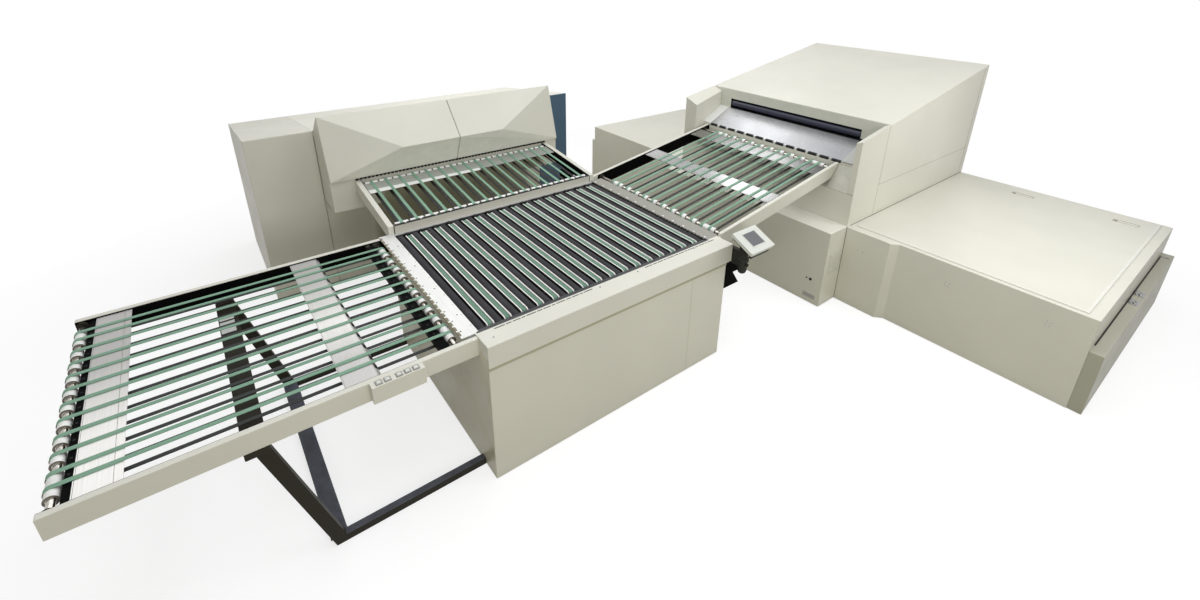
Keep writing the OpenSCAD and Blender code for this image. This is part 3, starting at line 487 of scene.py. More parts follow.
def post(name):
    """Dark grey post and arm on a black bracket, told apart by the place."""
    bracket_y = FRONT_Y - 0.004
    look = Look(name)
    _, y, z = look.xyz()
    low = look.times(look.over(y, bracket_y), look.math("LESS_THAN", z, LIP_LO.z))
    grain = look.noise(300, 3, None, 0.6)
    tone = look.ramp(grain, srgb(36, 36, 33), srgb(54, 54, 49))
    arm = look.shade(tone, 0.55, 0.0, look.bump(grain, 0.10, 0.0006), 0.15)
    coat = look.ramp(look.noise(60, 3), srgb(3, 3, 3), srgb(9, 9, 8))
    bracket = look.shade(coat, 0.65, 0.0, look.bump(grain, 0.06, 0.0004), 0.02)
    look.finish(look.pick(low, arm, bracket))


def screen(name):
    """Matt grey display with a fine dot grid."""
    look = Look(name)
    x, y, _ = look.xyz()
    dots = look.level(look.grid(x, y, 1500), -1, 1)
    look.finish(look.shade(look.ramp(dots, srgb(84, 85, 88), srgb(112, 113, 117), 0.2, 0.8), 0.35))


CREAM = srgb(219, 217, 204)
painted("cream", CREAM)
# painted light: the hood's downward faces are lighter
painted("cream_hood_lit_below", CREAM, facing=Facing("Z", -0.05, -0.30, srgb(241, 239, 227)))
# painted shade: the table's left side is darker and warmer
painted("cream_table_shaded_side", CREAM, facing=Facing("X", -0.50, -0.90, srgb(204, 198, 170)))
# painted shade: fronts below the back conveyor, between x -0.70 and 0.86 and under 0.95 m, are darker
painted("cream_shaded_front", CREAM, shade_zone=PaintedShadeZone(-0.70, 0.86, 0.95, srgb(158, 154, 131)))
# painted shade: the left cabinet's top is darker
painted("cream_left_shaded_top", CREAM, facing=Facing("Z", 0.50, 0.90, srgb(205, 203, 190)))
# painted light: the low box's top is lighter
painted("cream_box_lit_top", CREAM, facing=Facing("Z", 0.50, 0.90, srgb(232, 230, 217)))
# painted shade: the processor's left-facing fascia is darker
painted("cream_front_shaded_side", CREAM, facing=Facing("X", -0.50, -0.90, srgb(201, 202, 189)))
# painted shade: the apron's upward sloping faces are darker
painted("cream_apron_shaded_top", CREAM, facing=Facing("Z", 0.30, 0.60, srgb(172, 170, 158)))
# painted shade: a darker copy of the cream for the drawer
painted("cream_drawer_shaded", srgb(173, 171, 154))
painted("cream_rail", srgb(220, 218, 206), rough=0.40)
painted("cream_plastic", srgb(216, 218, 210), rough=0.38, peel=0.10)
painted("end_plate", srgb(206, 203, 190), rough=0.35)
painted("vent", srgb(207, 205, 193), rough=0.50)
painted("white", srgb(234, 234, 230), rough=0.40)
painted("grey", srgb(168, 168, 164))
painted("blue", srgb(70, 96, 117), rough=0.40)
# painted sheen: upward faces below 0.30 m, such as the top of the foot bar, turn a lighter bluish grey
painted("black", srgb(45, 42, 34), rough=0.50, peel=0.08, gloss=0.12,
        facing=Facing("Z", 0.55, 0.95, srgb(98, 101, 112), below=0.30))
painted("liner", srgb(9, 9, 9), rough=0.55, peel=0.08, gloss=0.02)
painted("dark", srgb(26, 26, 27), rough=0.55, gloss=0.20)
painted("edge_strip", srgb(54, 55, 57), rough=0.40, peel=0.08, gloss=0.30)
painted("slot_roll", srgb(46, 48, 66), rough=0.35, peel=0.04)
# painted shadow: the tone of the shade under the lip
painted("lip_shadow_tone", srgb(176, 173, 148), rough=0.60)
# painted shade: the yellow-brown of the table wall in shade, for the notches on the left transfer plate
painted("notch_shade_olive", srgb(124, 116, 92), rough=0.60)
painted("joint", srgb(96, 94, 84), rough=0.60)
painted("seam", srgb(128, 125, 112), rough=0.60)
painted("soft_seam", srgb(204, 202, 189), rough=0.60)

COVER = {"base": srgb(205, 203, 200), "axis": "y", "rough": 0.36, "metal": 0.6, "spots": 0.16}
brushed("steel", srgb(203, 203, 200), "y", rough=0.42, metal=0.30, spots=0.22)
brushed("steel_left", srgb(217, 217, 214), "y", rough=0.42, metal=0.30, spots=0.22)
brushed("tan", srgb(151, 149, 139), "y", rough=0.50, metal=0.10, spots=0.30)
brushed("bolt", srgb(170, 170, 170), "x", rough=0.30)
# painted light: the side guides brighten towards the back
brushed("guide_plate", srgb(192, 192, 188), "x", rough=0.60, metal=0.0, spots=0.10,
        painted_light_fades=[Fade("Y", -0.60, 0.80, 0.90, 1.50)])
# painted reflection: the feed plate brightens towards the back and towards its upper end by the slot
brushed("feed", srgb(172, 172, 173), "x", rough=0.25, metal=0.6, spots=0.35, painted_light_fades=[
    Fade("Y", -0.60, 0.75, 0.60, 1.25),
    Fade("X", 2.63, 2.68, 1.00, 1.30)])
brushed("cover", **COVER)
# painted sheen: the end cover is brighter towards the front and greyer towards the back
brushed("cover_end", **COVER, painted_light_fades=[Fade("Y", -0.30, 0.25, 1.45, 0.77)])
# painted glint: the middle cover is brightest just in front of its middle and darker towards both ends
brushed("cover_middle", **COVER, painted_light_fades=[
    Fade("Y", -0.42, -0.08, 0.85, 1.31),
    Fade("Y", -0.06, 0.48, 1.00, 0.58)])
# painted shade: the back cover darkens towards its right end
brushed("cover_back", srgb(169, 172, 164), "x", rough=0.45, metal=0.25, spots=0.15,
        painted_light_fades=[Fade("X", 0.25, 0.65, 1.00, 0.80)])
# painted light and shade: the right covers darken towards their upper and front ends and brighten towards
# their back
brushed("cover_right", srgb(164, 165, 164), "y", rough=0.22, spots=0.05, painted_light_fades=[
    Fade("X", 1.75, 2.10, 1.00, 0.70),
    Fade("Y", 0.45, 0.75, 1.00, 1.35),
    Fade("Y", -0.58, -0.50, 0.68, 1.00)])

foam("foam")
guide_bar("guide")
post("post")
screen("screen")

# belts and sleeved rollers have looks named after their nodes
BELT_NODES = ("left_belts", "right_belts", "back_belts", "deck_belts")
belt("left_belts", "x", 0.0, LEFT_A.z)
belt("right_belts", "x", RIGHT_SLOPE, right_axis(0))
belt("back_belts", "y", BACK_SLOPE, back_axis(0))
belt("deck_belts", "y", 0.0, middle("deck_belts").z, groove=True)
SLEEVED_NODES = {"left_end_roller": "y", "left_table_roller": "y", "right_lower_roller": "y",
                 "right_upper_roller": "y", "back_lower_roller": "x", "back_upper_roller": "x"}
for node_name, roller_axis in SLEEVED_NODES.items():
    sleeved(node_name, roller_axis, middle(node_name))

# looks of the CAD nodes, each node with the rounding of its edges in metres
DRESS = {
    "cream": {"loader_cabinet": 0.006, "rear_box": 0.005, "plate_tower": 0.005, "far_cheek": 0.004,
              "near_cheek": 0.003, "loader_lid": 0.003},
    "cream_hood_lit_below": {"hood_left": 0.006, "hood_right": 0.006},
    "cream_table_shaded_side": {"table_cabinet": 0.004},
    "cream_shaded_front": {"plate_body": 0.005, "plate_feed_housing": 0.004},
    "cream_left_shaded_top": {"plate_left_cabinet": 0.006},
    "cream_box_lit_top": {"low_box": 0.005},
    "cream_front_shaded_side": {"processor_body": 0.006},
    "cream_apron_shaded_top": {"feed_front": 0.003},
    "cream_drawer_shaded": {"loader_drawer": 0.005},
    "cream_rail": {"table_front_lip": 0.004, "button_box": 0.003, "left_front_rail": 0.003,
                   "left_back_rail": 0.003, "right_front_rail": 0.003, "right_back_rail": 0.003,
                   "back_left_rail": 0.003, "back_right_rail": 0.003},
    "cream_plastic": {"operator_panel": 0.006},
    "end_plate": {"back_end_plate": 0.002},
    "blue": {"tower_panel": 0.003},
    "black": {"left_stand": 0.003},
    "post": {"panel_post": 0.003},
    "liner": {"left_liners": 0, "right_liners": 0, "back_liners": 0, "left_end_crossbar": 0.002,
              "left_table_crossbar": 0.002},
    "slot_roll": {"slot_roller": 0},
    "steel": {"deck_walls": 0.001},
    "steel_left": {"left_transfer_plate": 0.0008},
    "tan": {"right_transfer_plate": 0.0008},
    "feed": {"feed_plate": 0.0008},
    "guide_plate": {"feed_side_guides": 0.001},
    "cover_end": {"left_end_cover": 0.0008},
    "cover_middle": {"left_middle_cover": 0.0008},
    "cover_back": {"back_cover": 0.0008},
    "cover_right": {"right_covers": 0.0008},
    "foam": {"deck_rollers": 0},
    "guide": {"belt_guides": 0.003},
    **{node: {node: 0} for node in BELT_NODES},
    **{node: {node: 0.0015} for node in SLEEVED_NODES},
}
WELD_REACH = 0.00005
SHARP_EDGE = math.radians(20)


def dress(obj, material, width):
    """Gives a CAD node its material and, by modifiers, rounded edges."""
    for i in range(len(obj.data.materials)):
        obj.data.materials[i] = material
    if width:
        weld = obj.modifiers.new("weld", "WELD")
        weld.merge_threshold = WELD_REACH
        bevel = obj.modifiers.new("edge", "BEVEL")
        bevel.width = width
        bevel.segments = 2
        bevel.limit_method = "ANGLE"
        bevel.angle_limit = SHARP_EDGE
        bevel.use_clamp_overlap = True


for look_name, widths in DRESS.items():
    for node_name, edge_width in widths.items():
        dress(NODES[node_name], LOOKS[look_name], edge_width)


def round_edges(part, edge):
    bmesh.ops.bevel(part, geom=part.edges[:], offset=edge, segments=2, affect="EDGES", profile=0.6)


class Piece:
    """Collects rounded blocks, discs and slabs of one look into a piece that rides on the part."""

    def __init__(self, name, look, slot):
        self.name = name
        self.look = look
        self.slot = slot
        self.bm = bmesh.new()

    def add(self, part):
        mesh = bpy.data.meshes.new("part")
        part.to_mesh(mesh)
        part.free()
        self.bm.from_mesh(mesh)
        bpy.data.meshes.remove(mesh)

    def block(self, x, y, z, edge, at=None):
        """A block given by its spans, with rounded edges."""
        part = bmesh.new()
        bmesh.ops.create_cube(part, size=1.0)
        for corner in part.verts:
            corner.co = [span[corner.co[i] > 0] for i, span in enumerate((x, y, z))]
        thinnest = min(span[1] - span[0] for span in (x, y, z))
        if edge:
            round_edges(part, min(edge, 0.45 * thinnest))
        if at:
            part.transform(at)
        self.add(part)

    def disc(self, at, axis, r, h, edge=0.0008, sides=20, hollow=0.0):
        """A turned disc standing h along an axis, with a rounded rim and, where hollow, a socket."""
        socket_z = h * 0.45
        profile = [(0.0, 0.0), (r, 0.0), (r, h - edge), (r - edge, h)]
        if hollow:
            profile += [(hollow, h), (hollow, socket_z), (0.0, socket_z)]
        else:
            profile += [(0.0, h)]
        part = bmesh.new()
        rings = []
        for rad, z in profile:
            turns = [2 * math.pi * i / sides for i in range(sides if rad else 1)]
            rings.append([part.verts.new((rad * math.cos(t), rad * math.sin(t), z)) for t in turns])
        for low, high in zip(rings, rings[1:]):
            for i in range(sides):
                j = (i + 1) % sides
                loop = [low[i % len(low)], low[j % len(low)], high[j % len(high)], high[i % len(high)]]
                loop = list(dict.fromkeys(loop))
                if len(loop) > 2:
                    part.faces.new(loop)
        turn = Vector(UP).rotation_difference(Vector(axis)).to_matrix().to_4x4()
        part.transform(Matrix.Translation(Vector(at)) @ turn)
        self.add(part)

    def slab(self, outline, along, edge):
        """A flat outline of points pushed along a vector."""
        part = bmesh.new()
        face = part.faces.new([part.verts.new(point) for point in outline])
        made = bmesh.ops.extrude_face_region(part, geom=[face])["geom"]
        moved = [item for item in made if isinstance(item, bmesh.types.BMVert)]
        bmesh.ops.translate(part, vec=Vector(along), verts=moved)
        bmesh.ops.recalc_face_normals(part, faces=part.faces[:])
        if edge:
            round_edges(part, edge)
        self.add(part)

    def put(self):
        mesh = bpy.data.meshes.new(self.name)
        bmesh.ops.recalc_face_normals(self.bm, faces=self.bm.faces[:])
        self.bm.to_mesh(mesh)
        self.bm.free()
        mesh.materials.append(LOOKS[self.look])
        obj = bpy.data.objects.new(self.name, mesh)
        scene.collection.objects.link(obj)
        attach(obj, "root")


def piece_of(look, slot):
    """Lets the function below it fill a piece, which gets the function's name."""
    def make(fill):
        piece = Piece(fill.__name__, look, slot)
        fill(piece)
        piece.put()
        return fill
    return make


# transfer table
@piece_of("dark", "black_paint")
def deck_floor(piece):
    """Dark deck floor with end bars, a bearing at each roller end and a foot at each guide."""
    bearing_half = 0.019
    bearing_z = near(DECK_TOP, -0.052, -0.0065)
    foot_half = 0.015
    foot_z = near(DECK_TOP, -0.044, 0.0025)
    piece.block(DECK_X, (DECK_Y0, DECK_Y1), (DECK_FLOOR, DECK_FLOOR + 0.002), edge=0.0005)
    piece.block(DECK_X, (DECK_Y0, DECK_Y0 + 0.018), near(DECK_TOP, -0.022, -0.0035), edge=0.002)
    piece.block(DECK_X, (DECK_Y1 - 0.014, DECK_Y1), near(DECK_TOP, -0.028, -0.006), edge=0.002)
    for x in ROLLER_X:
        piece.block(about(x, bearing_half), near(DECK_Y0, 0.016, 0.027), bearing_z, edge=0.002)
        piece.block(about(x, bearing_half), near(DECK_Y1, -0.027, -0.012), bearing_z, edge=0.002)
    for x in GUIDE_X:
        piece.block(about(x, foot_half), near(DECK_Y1, -0.036, -0.012), foot_z, edge=0.003)


@piece_of("bolt", "steel_sheet")
def deck_screws(piece):
    """Screws at the guides, on the left transfer plate and on the lip."""
    lip_screws = ((-0.835, -0.710), (-0.107, -0.660), (0.191, -0.660), (0.700, -0.660))
    for x in GUIDE_X:
        piece.disc((x, DECK_Y1 - 0.006, DECK_TOP), UP, r=0.0045, h=0.003, hollow=0.002)
    for y in row(DECK_Y0 + 0.080, pitch=0.118, count=12):
        piece.disc((PLATE_HI.x - 0.010, y, PLATE_TOP), UP, r=0.004, h=0.0012, edge=0.0005)
    for x, y in lip_screws:
        piece.disc((x, y, LIP_TOP), UP, r=0.006, h=0.0025, hollow=0.0025)


@piece_of("dark", "black_paint")
def lip_slots(piece):
    """Two rows of dark slots of changing length along the lip."""
    rows = ((-0.800, -0.210), (0.261, 0.900))
    runs = (0.062, 0.034, 0.048, 0.022)
    gap = 0.007
    slot_y = (-0.6520, -0.6455)
    for x, end in rows:
        for run in cycle(runs):
            if x >= end:
                break
            piece.block((x, x + run), slot_y, near(LIP_TOP, -0.001, 0.0004), edge=0.0002)
            x += run + gap


@piece_of("lip_shadow_tone", "cream_paint")
def lip_painted_shadow(piece):
    """Painted shadow: a strip in the shadow's colour under the lip."""
    piece.block((TABLE_LO.x + 0.002, TABLE_HI.x - 0.002), near(FRONT_Y, -0.004, 0.002),
                near(LIP_LO.z, -0.018, -0.0002), edge=0.001)


@piece_of("edge_strip", "black_paint")
def deck_edge(piece):
    """Dark strip along the front of the deck, with a bead, and a flat strip on the lip."""
    strip_y1 = DECK_Y0 + 0.0235
    piece.block(DECK_X, (DECK_Y0 + 0.0005, strip_y1), near(DECK_TOP, -0.026, -0.0007), edge=0.002)
    piece.block(DECK_X, (DECK_Y0 + 0.012, strip_y1), near(DECK_TOP, -0.002, 0.001), edge=0.0014)
    piece.block((-DECK_HALF - 0.016, DECK_HALF), near(DECK_Y0, -0.012, 0.001),
                near(LIP_TOP, -0.001, 0.0012), edge=0.0008)


@piece_of("white", "white_sleeve")
def transfer_studs(piece):
    """White studs on the right transfer plate and on the end plate of the back conveyor."""
    stud_w = 0.013
    end_plate = middle("back_end_plate")
    end_plate_top = corners("back_end_plate")[1].z
    for y in row(DECK_Y0 + 0.032, pitch=0.108, count=13):
        piece.block(near(DECK_HALF, 0.008, 0.023), (y, y + stud_w),
                    near(PLATE_TOP, -0.0005, 0.0055), edge=0.003)
    for x in row(-0.771, pitch=0.113, count=15):
        piece.disc((x, end_plate.y, end_plate_top), UP, r=0.006, h=0.004, edge=0.0015, sides=16)


@piece_of("dark", "black_paint")
def transfer_teeth(piece):
    """Dark holes in the left transfer plate and dark teeth along the right one."""
    tooth_w = 0.019
    hole = {"r": 0.0045, "h": 0.0008, "edge": 0.0003, "sides": 16}
    for i, y in enumerate(row(DECK_Y0 + 0.060, pitch=0.108, count=12)):
        piece.disc((PLATE_LO.x + 0.022, y, PLATE_TOP), UP, **hole)
        if i % 3 == 1:
            piece.disc((PLATE_HI.x - 0.031, y + 0.04, PLATE_TOP), UP, **hole)
    for y in row(DECK_Y0 + 0.012, pitch=0.0322, count=42):
        piece.block(near(DECK_HALF, -0.014, 0.005), (y, y + tooth_w),
                    (DECK_TOP - 0.004, PLATE_TOP + 0.0004), edge=0.0015)


@piece_of("notch_shade_olive", "steel_sheet")
def transfer_edge(piece):
    """Tapered notches along the left edge of the left transfer plate, in the yellow-brown of the table wall
    in shade: painted shade.
    """
    wide = 0.046
    taper = 0.006
    x0 = PLATE_LO.x - 0.0015
    x1 = PLATE_LO.x + 0.013
    z = DECK_TOP - 0.001
    for y in row(DECK_Y0 + 0.020, pitch=0.052, count=26):
        piece.slab([(x0, y, z), (x0, y + wide, z), (x1, y + wide - taper, z), (x1, y + taper, z)],
                   (0, 0, 0.0053), edge=0)


# left conveyor
@piece_of("seam", "grey_sheet")
def cover_seams(piece):
    """Fold lines on the two cover plates."""
    end_lo, end_hi = corners("left_end_cover")
    mid_lo, mid_hi = corners("left_middle_cover")
    y = (LEFT_IN_Y0 + 0.002, LEFT_IN_Y1 - 0.002)
    low = LEFT_COVER_TOP - 0.0005
    piece.block(near(end_hi.x, -0.030, -0.0282), y, (low, LEFT_COVER_TOP + 0.0004), edge=0.0003)
    for x in (end_lo.x + 0.004, mid_lo.x + 0.004, mid_hi.x - 0.004):
        piece.block((x, x + 0.0014), y, (low, LEFT_COVER_TOP + 0.0003), edge=0.0003)


@piece_of("cover", "grey_sheet")
def cover_flange(piece):
    """Edge of the middle cover that slopes down to the right."""
    x = corners("left_middle_cover")[1].x
    profile = ((-0.002, -0.004), (0.000, 0.0002), (0.016, -0.017), (0.014, -0.019))
    y0 = LEFT_IN_Y0 + 0.001
    y1 = LEFT_IN_Y1 - 0.001
    piece.slab([(x + dx, y0, LEFT_COVER_TOP + dz) for dx, dz in profile], (0, y1 - y0, 0), edge=0.0004)


@piece_of("dark", "black_paint")
def cover_notches(piece):
    """Dark notches in the sloping edge, one beside each belt."""
    x = corners("left_middle_cover")[1].x
    profile = ((-0.0015, -0.0025), (0.0007, 0.001), (0.0168, -0.0165), (0.0145, -0.019))
    before_belt = 0.046
    wide = 0.034
    for belt_y in BELT_Y:
        y = belt_y - before_belt
        piece.slab([(x + dx, y, LEFT_COVER_TOP + dz) for dx, dz in profile], (0, wide, 0), edge=0.0003)


@piece_of("black", "black_paint")
def roller_bearings(piece):
    """Ring bearings of the left and right rollers, and two clamps at the table end of the back rail."""
    ring = {"r": 0.026, "h": 0.010, "edge": 0.002, "sides": 24, "hollow": 0.0145}
    clamp_w = 0.026
    clamp_y = LEFT_IN_Y1 - 0.030
    clamp_z = near(LEFT_B.z, -0.011, 0.023)
    knob_z = LEFT_B.z + 0.009
    for mid in (LEFT_A, LEFT_B):
        piece.disc((mid.x, LEFT_IN_Y0, mid.z), TO_BACK, **ring)
        piece.disc((mid.x, LEFT_IN_Y1, mid.z), TO_FRONT, **ring)
    for mid in (RIGHT_A, RIGHT_B):
        piece.disc((mid.x, RIGHT_IN_Y0, mid.z), TO_BACK, **ring)
        piece.disc((mid.x, RIGHT_IN_Y1, mid.z), TO_FRONT, **ring)
    for x in near(LEFT_B.x, -0.075, -0.030):
        piece.block((x, x + clamp_w), (clamp_y, LEFT_IN_Y1), clamp_z, edge=0.003)
        piece.disc((x + clamp_w / 2, clamp_y, knob_z), TO_FRONT, r=0.008, h=0.012, edge=0.002, sides=16)


@piece_of("dark", "black_paint")
def crossbar_bolts(piece):
    """Bolts on the crossbars, between the belts."""
    top = corners("left_end_crossbar")[1].z
    for a, b in zip(BELT_Y, BELT_Y[1:]):
        for x in (LEFT_A.x + 0.046, LEFT_B.x - 0.060):
            piece.disc((x, (a + b) / 2, top), UP, r=0.0055, h=0.0025, hollow=0.0026)


def buttons():
    """Two and three push buttons on the button box, each with a frame, a cap and a ring."""
    count = 5
    pitch = 0.040
    group_gap = 0.007
    mid = middle("button_box")
    top = LEFT_RAIL_TOP
    frames = Piece("button_frames", "grey", "grey_sheet")
    caps = Piece("button_caps", "cream_plastic", "cream_plastic")
    rings = Piece("button_rings", "seam", "grey_sheet")
    parts = (
        (frames, 0.0140, near(top, -0.0010, 0.0053), 0.0015),
        (caps, 0.0085, near(top, 0.0040, 0.0062), 0.0010),
        (rings, 0.0165, near(top, -0.0005, 0.0008), 0.0005))
    for i in range(count):
        x = mid.x + (i - 2) * pitch + (-group_gap if i < 2 else group_gap)
        for piece, half, z, edge in parts:
            piece.block(about(x, half), about(mid.y, half), z, edge)
    for piece, *_ in parts:
        piece.put()


buttons()


@piece_of("white", "grey_sheet")
def stand_slots(piece):
    """Pale slots in the top beam of the stand."""
    lo, hi = corners("left_stand")
    for y in ((0.463, 0.484), (0.417, 0.446), (0.324, 0.370)):
        piece.block(near(lo.x, 0.005, 0.075), y, near(hi.z, -0.002, 0.0008), edge=0.0006)


@piece_of("black", "black_paint")
def stand_brackets(piece):
    """Bolted bracket at the back end of the beam, a pad on each end, and the edge of the foot bar."""
    lo, hi = corners("left_stand")
    bolt = {"r": 0.009, "h": 0.006, "edge": 0.0015, "hollow": 0.004}
    pad_half = 0.040
    foot_x = lo.x + 0.233
    piece.block(near(lo.x, 0.002, 0.092), (0.648, 0.722), near(hi.z, -0.001, 0.006), edge=0.002)
    for x in (lo.x + 0.020, lo.x + 0.047, lo.x + 0.074):
        for y in (0.672, 0.700):
            piece.disc((x, y, hi.z + 0.0055), UP, **bolt)
    for y in (lo.y + 0.049, hi.y - 0.049):
        piece.block(near(lo.x, 0.003, 0.091), about(y, pad_half), near(hi.z, -0.008, 0.002), edge=0.002)
    piece.block((foot_x, foot_x + 0.021), (lo.y + 0.069, hi.y - 0.069), (0.001, 0.0412), edge=0.002)


# right conveyor
@piece_of("seam", "grey_sheet")
def right_cover_seams(piece):
    """Fold lines near the edges of both cover plates."""
    lo, hi = corners("right_covers")
    below_top = 0.009 * math.hypot(1, RIGHT_SLOPE)
    y = (RIGHT_IN_Y0 + 0.002, RIGHT_IN_Y1 - 0.002)
    for x in (lo.x + 0.010, lo.x + 0.140, hi.x - 0.140, hi.x - 0.010):
        z = right_top(x) - below_top
        piece.block((x, x + 0.0016), y, near(z, -0.0007, 0.0004), edge=0)


# back conveyor and hood
@piece_of("white", "steel_sheet")
def back_cover_painted_reflection(piece):
    """Thin white plate on the cover's front edge, wider at its left end: a painted reflection of the bright
    surroundings.
    """
    lo = corners("back_cover")[0]
    right_x = 0.080
    below_top = 0.0078
    outline = ((lo.x, -0.022), (right_x, -0.026), (right_x, 0.012), (lo.x, 0.034))
    points = [(x, lo.y + dy, back_top(lo.y + dy) - below_top) for x, dy in outline]
    piece.slab(points, (0, 0, -0.003), edge=0.0004)


@piece_of("dark", "black_paint")
def end_plate_gap(piece):
    """Dark gap over the end plate."""
    lo, hi = corners("back_end_plate")
    piece.block((lo.x + 0.002, hi.x - 0.002), (lo.y - 0.001, hi.y + 0.001),
                near(hi.z, -0.005, 0.0008), edge=0.0008)


@piece_of("liner", "black_paint")
def back_drive_box(piece):
    """Dark block with a hub on the inner side of the right rail."""
    rail = corners("back_right_rail")[0]
    x = rail.x - 0.056
    y = rail.y + 0.330
    z = rail.z - 0.008
    piece.block((x, rail.x), about(y, 0.076), about(z, 0.052), edge=0.006)
    piece.disc((x, y, z), TO_LEFT, r=0.030, h=0.010, edge=0.003, sides=28, hollow=0.010)


@piece_of("dark", "black_paint")
def hood_brush(piece):
    """Row of dark brush tufts under the hood."""
    wide = 0.022
    hood_z = corners("hood_left")[0].z
    housing_y = corners("plate_feed_housing")[0].y
    y = near(housing_y, -0.0185, -0.0025)
    z = near(hood_z, -0.017, 0.0025)
    for x in row(-HALF_W + 0.005, pitch=0.0314, count=57):
        piece.block((x, x + wide), y, z, edge=0.001)


# feed slot and feed plate
@piece_of("dark", "black_paint")
def slot_lining(piece):
    """Dark lining of the feed slot, a stop at its near end, and the teeth of the feed plate."""
    lo, hi = corners("slot_roller")
    roof_x = FEED_HI.x
    sill = FEED_HI.z
    x = near(roof_x, 0.001, 0.0895)
    y = (lo.y + 0.001, hi.y - 0.001)
    z = near(sill, 0.0002, 0.0979)
    teeth = 13
    tooth_pitch = 0.114
    tooth_w = 0.0864
    tooth = ((0.0004, -0.0155), (0.0156, -0.0155), (0.0156, 0.0062), (0.0004, -0.001))
    lining = (
        (x, y, (z[0], z[0] + 0.0014)),
        (x, y, (z[1] - 0.0013, z[1])),
        (near(roof_x, 0.0872, 0.0898), y, z),
        (x, near(lo.y, 0.0001, 0.002), z),
        (x, near(hi.y, -0.002, -0.0001), z))
    for spans in lining:
        piece.block(*spans, edge=0.0004)
    piece.block(near(roof_x, -0.014, 0.004), near(lo.y, -0.023, 0.005),
                near(sill, 0.003, 0.021), edge=0.003)
    for i in range(teeth):
        tooth_y = (lo.y + hi.y) / 2 + (i - (teeth - 1) / 2) * tooth_pitch - tooth_w / 2
        outline = [(FEED_LO.x + dx, tooth_y, FEED_Z + dz) for dx, dz in tooth]
        piece.slab(outline, (0, tooth_w, 0), edge=0.0005)


@piece_of("bolt", "steel_sheet")
def feed_screws(piece):
    """Screws square on the sloping feed plate."""
    places = ((2.55, -0.458), (2.55, -0.567), (2.62, 0.62), (2.50, 0.62), (2.62, -0.40))
    for x, y in places:
        z = FEED_Z + (x - FEED_LO.x) * FEED_SLOPE
        piece.disc((x, y, z), (-FEED_SLOPE, 0, 1), r=0.006, h=0.002, hollow=0.0028)


# processor, low box and housings
@piece_of("seam", "cream_paint")
def panel_gaps(piece):
    """Gaps between the panels on the near side and the front of the processor."""
    cheek_x = FEED_HI.x - 0.019
    end_x = PROC_HI.x - 0.090
    cheek_z = corners("near_cheek")[0].z
    gap_w = 0.0024
    side = near(PROC_Y, -0.0008, 0.002)
    piece.block((cheek_x, cheek_x + gap_w), side, (0.700, 1.486), edge=0.0003)
    piece.block((cheek_x + gap_w, end_x), side, near(cheek_z, -0.001, 0.0012), edge=0.0003)
    piece.block((end_x, end_x + 0.002), side, (0.700, 1.790), edge=0.0003)
    piece.block(near(PROC_X, -0.0008, 0.002), (PROC_Y + 0.004, 0.872), (0.9650, 0.9674), edge=0.0003)
    piece.block(near(FEED_LO.x, -0.0008, 0.002), (-0.832, -0.648), (1.144, 1.146), edge=0.0003)


@piece_of("joint", "cream_paint")
def housing_joints(piece):
    """Joints beside the left cabinet and between the loader and the processor."""
    cabinet_x = corners("plate_body")[0].x
    cabinet_y = corners("plate_left_cabinet")[0].y
    top = LOADER_HI.z
    piece.block(near(cabinet_x, -0.0015, 0.0005), about(cabinet_y, 0.001), (0.004, 1.380), edge=0.0004)
    piece.block(near(PROC_X, -0.0022, 0.0004), near(PROC_Y, -0.0024, 0.0004),
                (0.004, top + 0.002), edge=0.0006)
    piece.block((PROC_X + 0.050, LOADER_HI.x - 0.002), near(PROC_Y, -0.003, 0.0004),
                near(top, -0.0005, 0.003), edge=0.0006)


@piece_of("soft_seam", "cream_paint")
def table_gaps(piece):
    """Two fine gaps in the front of the table."""
    for x in (0.586, 0.593):
        piece.block((x, x + 0.0018), near(FRONT_Y, -0.0006, 0.002), (0.010, 0.746), edge=0.0003)


@piece_of("vent", "cream_paint")
def low_box_vent(piece):
    """Vent with sloping slats on the near side of the low box."""
    slat_x = LOW_BOX_LO.x + 0.062
    slat_run = 0.146
    slat = ((-0.002, 0.000), (-0.007, -0.003), (-0.007, 0.004), (-0.002, 0.009))
    piece.block((LOW_BOX_LO.x + 0.050, LOW_BOX_HI.x - 0.021), near(PROC_Y, -0.003, 0.002),
                (0.300, 0.490), edge=0.0015)
    for z in row(0.316, pitch=0.0185, count=9):
        piece.slab([(slat_x, PROC_Y + dy, z + dz) for dy, dz in slat], (slat_run, 0, 0), edge=0.0006)


@piece_of("dark", "black_paint")
def low_box_switch(piece):
    """Switch and lamp on the front of the low box."""
    z = 0.221
    piece.disc((LOW_BOX_LO.x, -0.779, z), TO_LEFT, r=0.012, h=0.006, edge=0.002, sides=24, hollow=0.005)
    piece.disc((LOW_BOX_LO.x, -0.742, z), TO_LEFT, r=0.007, h=0.003, edge=0.001)


@piece_of("grey", "grey_sheet")
def low_box_plate(piece):
    """Bare plate under the switch."""
    piece.block(near(LOW_BOX_LO.x, -0.001, 0.0005), (-0.842, -0.728), (0.046, 0.084), edge=0.0005)


# loader
LATCH_X = (3.303, 3.479)
LATCH_KEY_X = -0.016
LATCH_KEY_Y = LOADER_LO.y - 0.044


